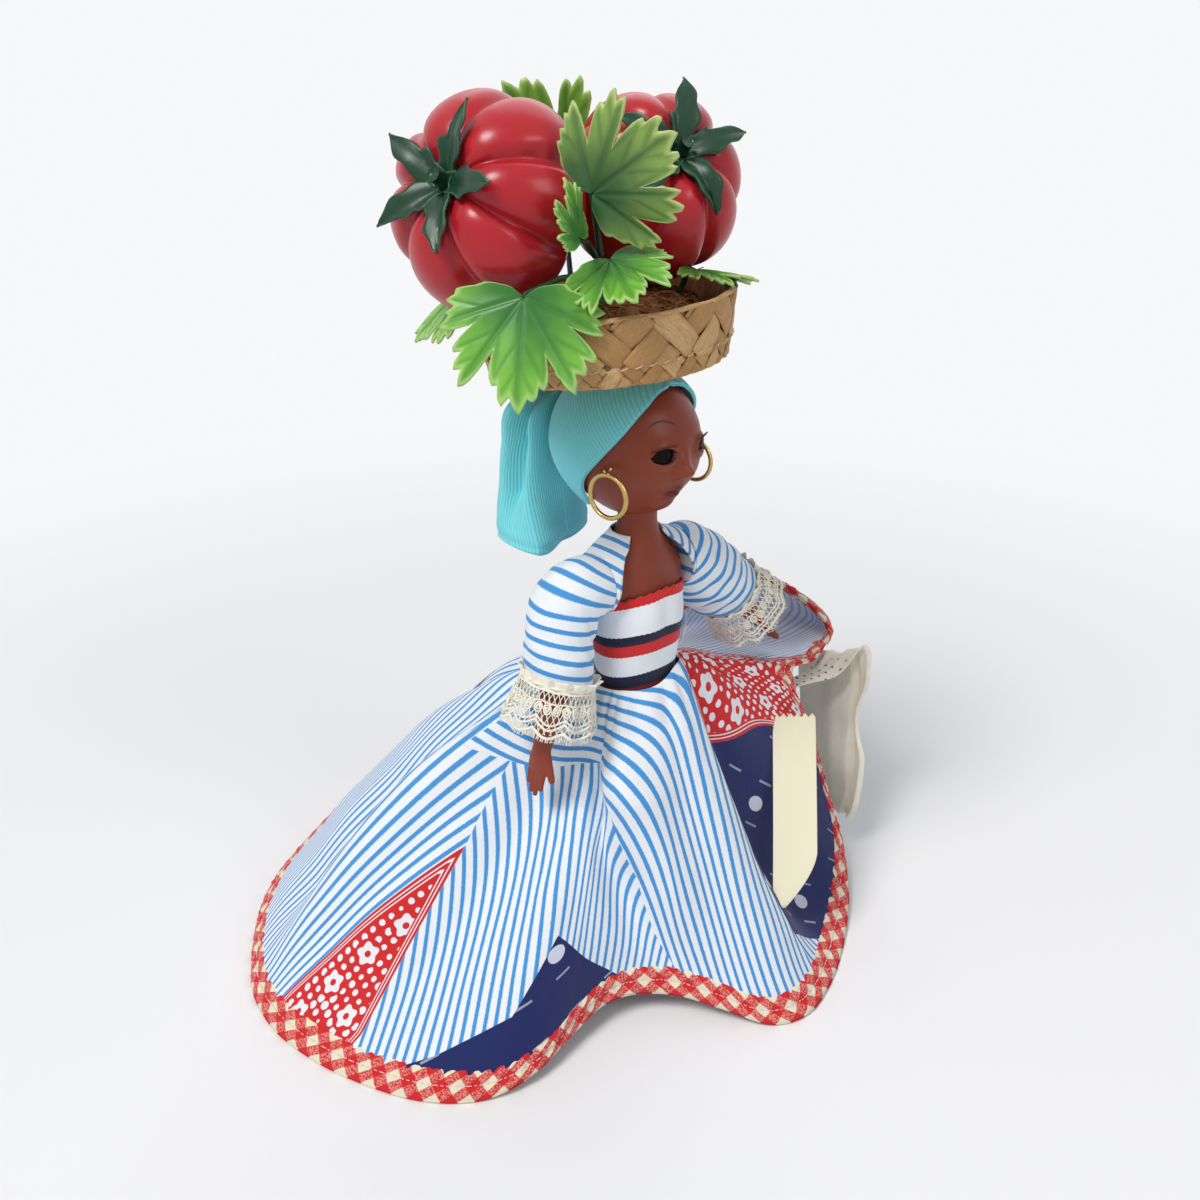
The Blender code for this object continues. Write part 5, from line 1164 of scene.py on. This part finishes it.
def skirt_folds(phi, whole, s, left):
    """Height of the soft folds above the plain skirt, in millimetres. Left is the length to the hem."""
    r = s + FLAT_CENTRE
    soft = 0 * phi
    for start, slope, first, width, height in SOFT_FOLDS:
        off = wrapped(phi - start - slope * (s - first), whole) * r
        soft = soft + height * bell(off, width) * np.clip((s - first) / 14, 0, 1)
    off = wrapped(phi - front_fold_edge(s), whole) * r
    fold = (4.6 * bell(off - 8, 8.0) - 4.4 * bell(off + 5.0, 6.0)) * np.clip((s - 9) / 14, 0, 1)
    swag = 2.8 * bell(off - 3, 6) * bell(s - 21, 8)
    near_hem = np.clip(left / 26, 0, 1)
    return (soft + fold + swag) * near_hem * near_hem * (3 - 2 * near_hem)


def make_skirt(finish, lining_finish, binding_finish):
    fine, walked = walk(fold_lines(COLUMNS))
    full = walked[:, -1]
    lengths = np.linspace(0, 1, 130)[:, None] ** 0.92 * (full - 7.2 * MM)
    points = at_lengths(fine, walked, lengths)
    gaps = np.linalg.norm(np.roll(points, -1, 1) - points, axis=2)
    turn = np.cumsum(np.append(0, (gaps[25:] / (lengths[25:] + FLAT_CENTRE * MM)).mean(0)))
    whole, phi = turn[-1], np.broadcast_to(turn[:-1], lengths.shape)
    normal = outward(normals_of(points, True), 60)
    s, left = lengths / MM, (full - lengths) / MM
    gathers = np.sin(phi * 27 + 1.3 * np.sin(phi * 7)) * np.exp(-s / 16.0) * np.clip(s / 3, 0, 1) * 0.50
    soft = ripple(points, 17 * MM, 61) * 0.5 * np.clip(s / 25, 0, 1) * np.clip(left / 22, 0, 1)
    soft = soft + skirt_folds(phi, whole, s, left - 7.5)
    pucker = np.sin(phi * 96) * 0.08 * np.exp(-((left - 7.2) / 3.0))
    outer = points + normal * ((gathers + soft + pucker + 0.45) * MM)[..., None]
    top = bell(s, 17)
    outer[..., 2] += waist_lift(points) * top * MM
    outer[..., :2] *= 1 + 0.012 * top[..., None]
    outer[..., 2] = np.maximum(outer[..., 2], 0.5 * MM)
    inner = points - normal * ((0.95 - 0.3 * gathers - np.minimum(soft, 0)) * MM)[..., None]
    inner[..., 2] = np.maximum(inner[..., 2], 0.2 * MM)
    cloth = grid(
        "skirt_cloth", outer, finish, BODY, "striped_cloth", "skirt_outer", thickness=0.0004,
        **skirt_pattern(phi, whole, s),
    )
    lining = grid(
        "skirt_lining_cloth", inner[::2, ::2], lining_finish, BODY, "lining_cloth", "skirt_lining",
        thickness=0.0004, inward=False, across=((s + FLAT_CENTRE) * np.sin(phi * 4) / 4)[::2, ::2] + 200,
    )
    make_binding(fine, walked, binding_finish)


def outward(normal, row):
    """The normals, turned round where those of a row point down on the whole."""
    return normal if normal[row, :, 2].mean() >= 0 else -normal


def make_binding(fine, walked, finish):
    """Bias tape folded round the hem, quilted by the stitches along its middle."""
    full = walked[:, -1]
    t = np.linspace(0, 1, 15)
    quilt = np.abs(np.sin(2 * math.pi * t)) ** 0.7
    back = np.concatenate([8.5 - 8.2 * t, (0.05, 0.05), 0.3 + 8.2 * t])
    thick = np.concatenate([0.82 * (1 - t) ** 0.2 + 0.42 * quilt, (0.25, -0.25), -0.42 - 0.50 * quilt[::-1]])
    points = at_lengths(fine, walked, full - back[:, None] * MM)
    middle = at_lengths(fine, walked, np.stack([full - 8.5 * MM, full - 4.3 * MM, full]))
    normal = outward(normals_of(middle, True), 1)[1]
    hem = points[15]
    along = walked_along(hem)
    whole = along[-1] + np.linalg.norm(hem[0] - hem[-1]) / MM
    along = along * (round(whole / 8.485) * 8.485 / whole)
    puff = 1 + 0.16 * np.sin(along * 2 * math.pi / 3.3) + 0.10 * np.sin(along * 2 * math.pi / 5.7)
    points = points + normal * (thick[:, None] * puff * MM)[..., None]
    points[..., 2] = np.maximum(points[..., 2], 0.0)
    across = np.concatenate([np.linspace(0, 8.5, 15), [8.6, 8.9], np.linspace(9.0, 17.5, 15), [17.6]])
    grid(
        "skirt_binding_tape", np.concatenate([points, points[:1]]), finish, BODY, "red_gingham", "skirt_binding",
        along=along, across=across[:, None],
    )
    stitches, row, steps = [], points[7], 300
    for k in range(steps):
        i0, i1 = int(k * COLUMNS / steps), int((k + 0.62) * COLUMNS / steps)
        line = [row[i % COLUMNS] + normal[i % COLUMNS] * (0.10 + 0.08 * (i0 < i < i1)) * MM for i in range(i0, i1 + 1)]
        if len(line) > 1:
            stitches.append((line, 0.15 * MM))
    thread = plastic("pink_thread", (0.80, 0.58, 0.58), 0.7)
    tubes("binding_stitches", stitches, thread, BODY, "red_gingham", sides=4)


def make_waistband(finish):
    height, out = np.array(((-1.3, 0.3), (-1.3, 1.1), (-0.6, 1.4), (0.6, 1.4), (1.3, 1.1), (1.3, 0.3))).T[..., None]
    points = rings(full_turn(120), 10 + out, 8 + out, 83 + height) * MM
    across = (np.arange(6) * 0.6 + 2.4)[:, None]
    grid("waistband_cloth", points, finish, BODY, "striped_cloth", "waistband", across=across)


APRON = np.array(
    (
        (-3, 108, 930, 24), (-3, 110, 890, 26), (-3, 200, 835, 26), (-3, 330, 780, 24), (-3, 450, 745, 22),
        (-4, 545, 740, 26), (-5, 610, 745, 45), (-7, 655, 785, 66), (-9, 672, 720, 70), (-10, 668, 550, 64),
        (-11, 664, 400, 62), (-12, 660, 250, 55), (-12, 655, 170, 35),
    ),
    float,
)


def place_on_skirt(degrees, reach, height):
    bearing = math.radians(degrees)
    return np.array((120 * reach * math.cos(bearing), 120 * reach * math.sin(bearing), 83 * height)) * MM


def eyelet_finish():
    f = Finish("eyelet_cotton", roughness=0.9, Subsurface_Weight=0.35, Subsurface_Scale=0.002)
    f.set(Subsurface_Radius=(1.0, 0.92, 0.8))
    x, y = ring_cell(f, f.attribute("across"), f.attribute("along"), 2.9)
    far = length_of(f, x, y)
    on = f.math("MULTIPLY", f.rise(f.attribute("along"), 48.0, 51.0), f.rise(f.attribute("along"), 74.0, 71.0))
    # the eyelet holes are not cut: each is painted dark brown (0.22, 0.17, 0.13), painted shade standing in for the
    # hole
    hole = f.math("MULTIPLY", f.rise(far, 0.50, 0.34), on)
    ring = f.math("MULTIPLY", f.math("MULTIPLY", f.rise(far, 0.45, 0.6), f.rise(far, 1.0, 0.8)), on)
    colour = f.mix(f.noise(400, 3), (0.78, 0.73, 0.60), (0.88, 0.84, 0.72))
    f.set(Base_Color=f.mix(hole, f.mix(ring, colour, (0.86, 0.83, 0.74)), (0.22, 0.17, 0.13)))
    return f.bump(f.math("ADD", ring, f.math("MULTIPLY", f.noise(1700, 2), 0.4)), 0.6, 0.0003).material


def make_apron():
    """Eyelet apron: soft pleats from its gathered waist, eyelets on its upper part, and a rounded foot."""
    t, side = np.linspace(0, 12, 190), np.linspace(-1, 1, 81)
    table = smooth_steps(np.arange(13.0), APRON * (1, 0.001, 0.001, 0.001), t)
    middle = np.array([place_on_skirt(*row[:3]) for row in table])[:, None]
    across = middle[..., (1, 0, 2)] * (-1, 1, 0)
    across /= np.linalg.norm(across, axis=2, keepdims=True)
    t = t[:, None]
    neck, behind = 1 - 0.55 * bell(t - 8.75, 0.6), 1 + 2.2 * np.clip(t - 7.2, 0, 1)
    places = side * np.where(side < 0, neck, behind)
    points = middle + across * (110 * table[:, 3:] * places * MM)[..., None]
    # the cloth stands up in a corner where it comes over the hem, on the side towards the skirt's front
    points[..., 2] += 9.0 * MM * bell(t - 7.25, 0.75) * np.clip(0.5 - 0.5 * side, 0, 1) ** 1.3
    down = np.clip((t - 5.5) / 6.5, 0, 1)
    pleats = (np.sin(side * 7 + 0.6) * 1.1 + np.sin(side * 15 + 2) * 0.5) * (0.15 + 0.85 * down)
    points = raised(points, (pleats + ripple(points, 7 * MM, 91) * 0.5) * MM, False)
    walked = walked_along(points[:, 40])
    obj = grid(
        "apron_cloth", points, eyelet_finish(), BODY, "cream_lace", "lower_apron", around=False, thickness=0.0004,
        along=walked[:, None], across=side * table[:, 3:] * 110 + 100,
    )


def make_tag():
    """Bare satin ribbon, pinked at its top, with a slight bow and a curled lower end."""
    top, foot = place_on_skirt(-17, 0.434, 0.735), place_on_skirt(-61, 0.392, 0.272)
    bearing, length = math.radians(-42), float(np.linalg.norm(top - foot))
    level, down = np.array((math.cos(bearing), math.sin(bearing), 0)), (foot - top) / length
    out = np.cross(down, level)
    t, side = np.linspace(0, 1, 60)[:, None], np.linspace(-0.5, 0.5, 49)
    taper = np.clip((t - 0.72) / 0.28, 0, None)
    place = (side + 0.5) * (1 - 0.72 * taper**1.6) - 0.5
    bow = 0.5 * np.sin(math.pi * t) + 0.12 * np.sin(side * 5 + 7 * t) - 1.1 * (side + 0.5) * t**2
    teeth = np.abs((side * 12) % 2 - 1) * 1.2 * (1 - t)
    moves = (((place * 12.2 - 0.8) * MM, level), (t * length + teeth * MM, down), (bow * MM, out))
    points = top + sum(np.broadcast_to(far, (60, 49))[..., None] * way for far, way in moves)
    f = Finish("cream_satin", (0.80, 0.76, 0.56), 0.42, Sheen_Weight=0.2, Anisotropic=0.3)
    f.bump(f.noise(1200, 2), 0.12, 0.0002)
    obj = grid("ribbon_tag_satin", points, f.material, BODY, "satin", "ribbon_tag", around=False, thickness=0.00018)


# Build

LACE = Finish("cream_lace_thread", (0.88, 0.85, 0.73), 0.85, Sheen_Weight=0.2).material
LASH = plastic("lash", (0.07, 0.035, 0.015), 0.5)


def build():
    skin = skin_finish()
    plain_skin = skin_finish("brown_body", face=False)
    stripes = striped("striped_knit")
    pale = striped("pale_lining", white=(0.80, 0.83, 0.90), blue=PALE_BLUE)
    gingham = gingham_finish("red_gingham_bias")
    check = gingham_finish("red_gingham_bodice", 3.2, (0.80, 0.78, 0.72))
    # the second colour of each knit is painted shade for the grooves between its ribs
    aqua = knit_finish("aqua_knit_rib", (0.20, 0.68, 0.73), (0.13, 0.52, 0.58), 0.75, 0.4)
    white_knit = knit_finish("cap_knit", (0.78, 0.74, 0.62), (0.62, 0.57, 0.46), 1.1, 0.4)
    brass = plastic("gilt_wire", (0.52, 0.37, 0.13), 0.30, Metallic=1.0)
    for half, matrix in (("upper", UPPER), ("lower", LOWER)):
        make_torso(half, matrix, plain_skin)
        for side, _ in SIDES:
            make_arm(half, side, plain_skin)
    make_head("upper", UPPER_SKULL, skin)
    make_head("lower", LOWER_SKULL, skin)
    make_eyes("upper", UPPER_SKULL, 0)
    make_eyes("lower", LOWER_SKULL, 45)
    make_bodice("upper", UPPER, bodice_finish(), "bodice_knit")
    make_bodice("lower", LOWER, check, "red_gingham")
    make_jacket(stripes)
    for side, seed in (("left", 71), ("right", 81)):
        make_sleeve("upper", side, stripes, 9.4, 8.6, "striped_cloth", seed)
        make_cuff("upper", side, 8.6, 2.6, seed)
        make_sleeve("lower", side, pale, 6.7, 6.2, "lining_cloth", seed + 4)
        make_cuff("lower", side, 6.2, 1.2, seed + 5)
    make_scarf("upper", UPPER_SKULL, aqua, "aqua_knit")
    make_scarf("lower", LOWER_SKULL, white_knit, "cream_lace")
    make_tail(aqua)
    for side, _ in SIDES:
        make_earring(side, brass)
    make_basket()
    green = leaf_finish("calyx_dark", (0.008, 0.045, 0.020), (0.018, 0.090, 0.045), (0.03, 0.12, 0.06))
    make_tomato("tomato_big", aimed(-0.0195, 0.0128, 0.0361, 182, 24), 0.0226, 0.0162, 0.3, green)
    make_tomato("tomato_small", aimed(0.0155, -0.0036, 0.0343, 246, 31), 0.0204, 0.0179, 1.7, green)
    bright = leaf_finish("leaf_bright", (0.035, 0.17, 0.030), (0.19, 0.48, 0.055), (0.46, 0.68, 0.22))
    olive = leaf_finish("leaf_olive", (0.030, 0.10, 0.030), (0.22, 0.36, 0.075), (0.52, 0.60, 0.22))
    for seed, row in enumerate(LEAVES):
        make_leaf(row, olive if row[0] == "leaf_front_high" else bright, green, seed + 1)
    make_skirt(skirt_finish(), pale, gingham)
    make_waistband(stripes)
    make_apron()
    make_tag()


def seen_rays(tree):
    """1 for the rays that show the background: from the camera, off gloss and through clear pieces."""
    path = tree.nodes.new("ShaderNodeLightPath")
    seen = path.outputs["Is Camera Ray"]
    for name in ("Is Glossy Ray", "Is Transmission Ray"):
        either = tree.nodes.new("ShaderNodeMath")
        either.operation = "MAXIMUM"
        tree.links.new(seen, either.inputs[0])
        tree.links.new(path.outputs[name], either.inputs[1])
        seen = either.outputs[0]
    return seen


def make_stage():
    """Camera, white floor and backdrop, and soft lights."""
    camera = bpy.data.objects.new("camera", bpy.data.cameras.new("camera"))
    bpy.context.scene.collection.objects.link(camera)
    camera.location = (-0.1733, -0.1790, 0.2230)
    camera.rotation_euler = Euler((math.radians(65), 0, math.radians(-42)))
    camera.data.lens = 33
    camera.data.sensor_width = 36
    camera.data.clip_start = 0.005
    bpy.context.scene.camera = camera
    bpy.ops.mesh.primitive_plane_add(size=60, location=(0, 0, -0.0002))
    floor = bpy.context.object
    floor.name = "floor"
    f = Finish("floor_white", (0.86, 0.86, 0.87), 0.95, Specular_IOR_Level=0.0)
    away = f.node("VectorMath", (f.node("NewGeometry").outputs["Position"],), operation="LENGTH").outputs["Value"]
    away = f.math("MULTIPLY", f.rise(away, 0.12, 0.55), seen_rays(f.tree))
    f.set(Base_Color=f.mix(away, (0.86, 0.86, 0.87), (0.0, 0.0, 0.0)), Emission_Color=(0.93, 0.935, 0.945))
    f.set(Emission_Strength=away)
    floor.data.materials.append(f.material)
    for name, kind, place, size, power, colour in (
        ("sun", "SUN", (-0.45, -0.05, 0.70), 0.35, 1.45, (1.0, 0.98, 0.95)),
        ("sky", "SUN", (0.50, 0.35, 0.70), 0.9, 0.55, (0.97, 0.98, 1.0)),
        ("window", "AREA", (-0.42, -0.05, 0.62), 0.20, 1.1, (1.0, 1.0, 1.0)),
        ("panel", "AREA", (0.05, -0.55, 0.55), 0.25, 0.8, (1.0, 1.0, 1.0)),
    ):
        data = bpy.data.lights.new(name, kind)
        if kind == "SUN":
            data.angle = size
        else:
            data.size = size
        data.energy = power
        data.color = colour
        lamp = bpy.data.objects.new(name, data)
        bpy.context.scene.collection.objects.link(lamp)
        lamp.location = place
        lamp.rotation_euler = (Vector((0, 0, 0.1)) - Vector(place)).to_track_quat("-Z", "Y").to_euler()
    world = bpy.data.worlds.new("studio")
    bpy.context.scene.world = world
    world.use_nodes = True
    tree = world.node_tree
    background = tree.nodes["Background"]
    background.inputs["Color"].default_value = (0.80, 0.83, 0.88, 1)
    background.inputs["Strength"].default_value = 0.36
    white = tree.nodes.new("ShaderNodeBackground")
    white.inputs["Color"].default_value = (0.93, 0.935, 0.945, 1)
    mix = tree.nodes.new("ShaderNodeMixShader")
    tree.links.new(seen_rays(tree), mix.inputs[0])
    tree.links.new(background.outputs[0], mix.inputs[1])
    tree.links.new(white.outputs[0], mix.inputs[2])
    tree.links.new(mix.outputs[0], tree.nodes["World Output"].inputs["Surface"])
    bpy.context.scene.view_settings.view_transform = "Standard"


make_stage()
build()
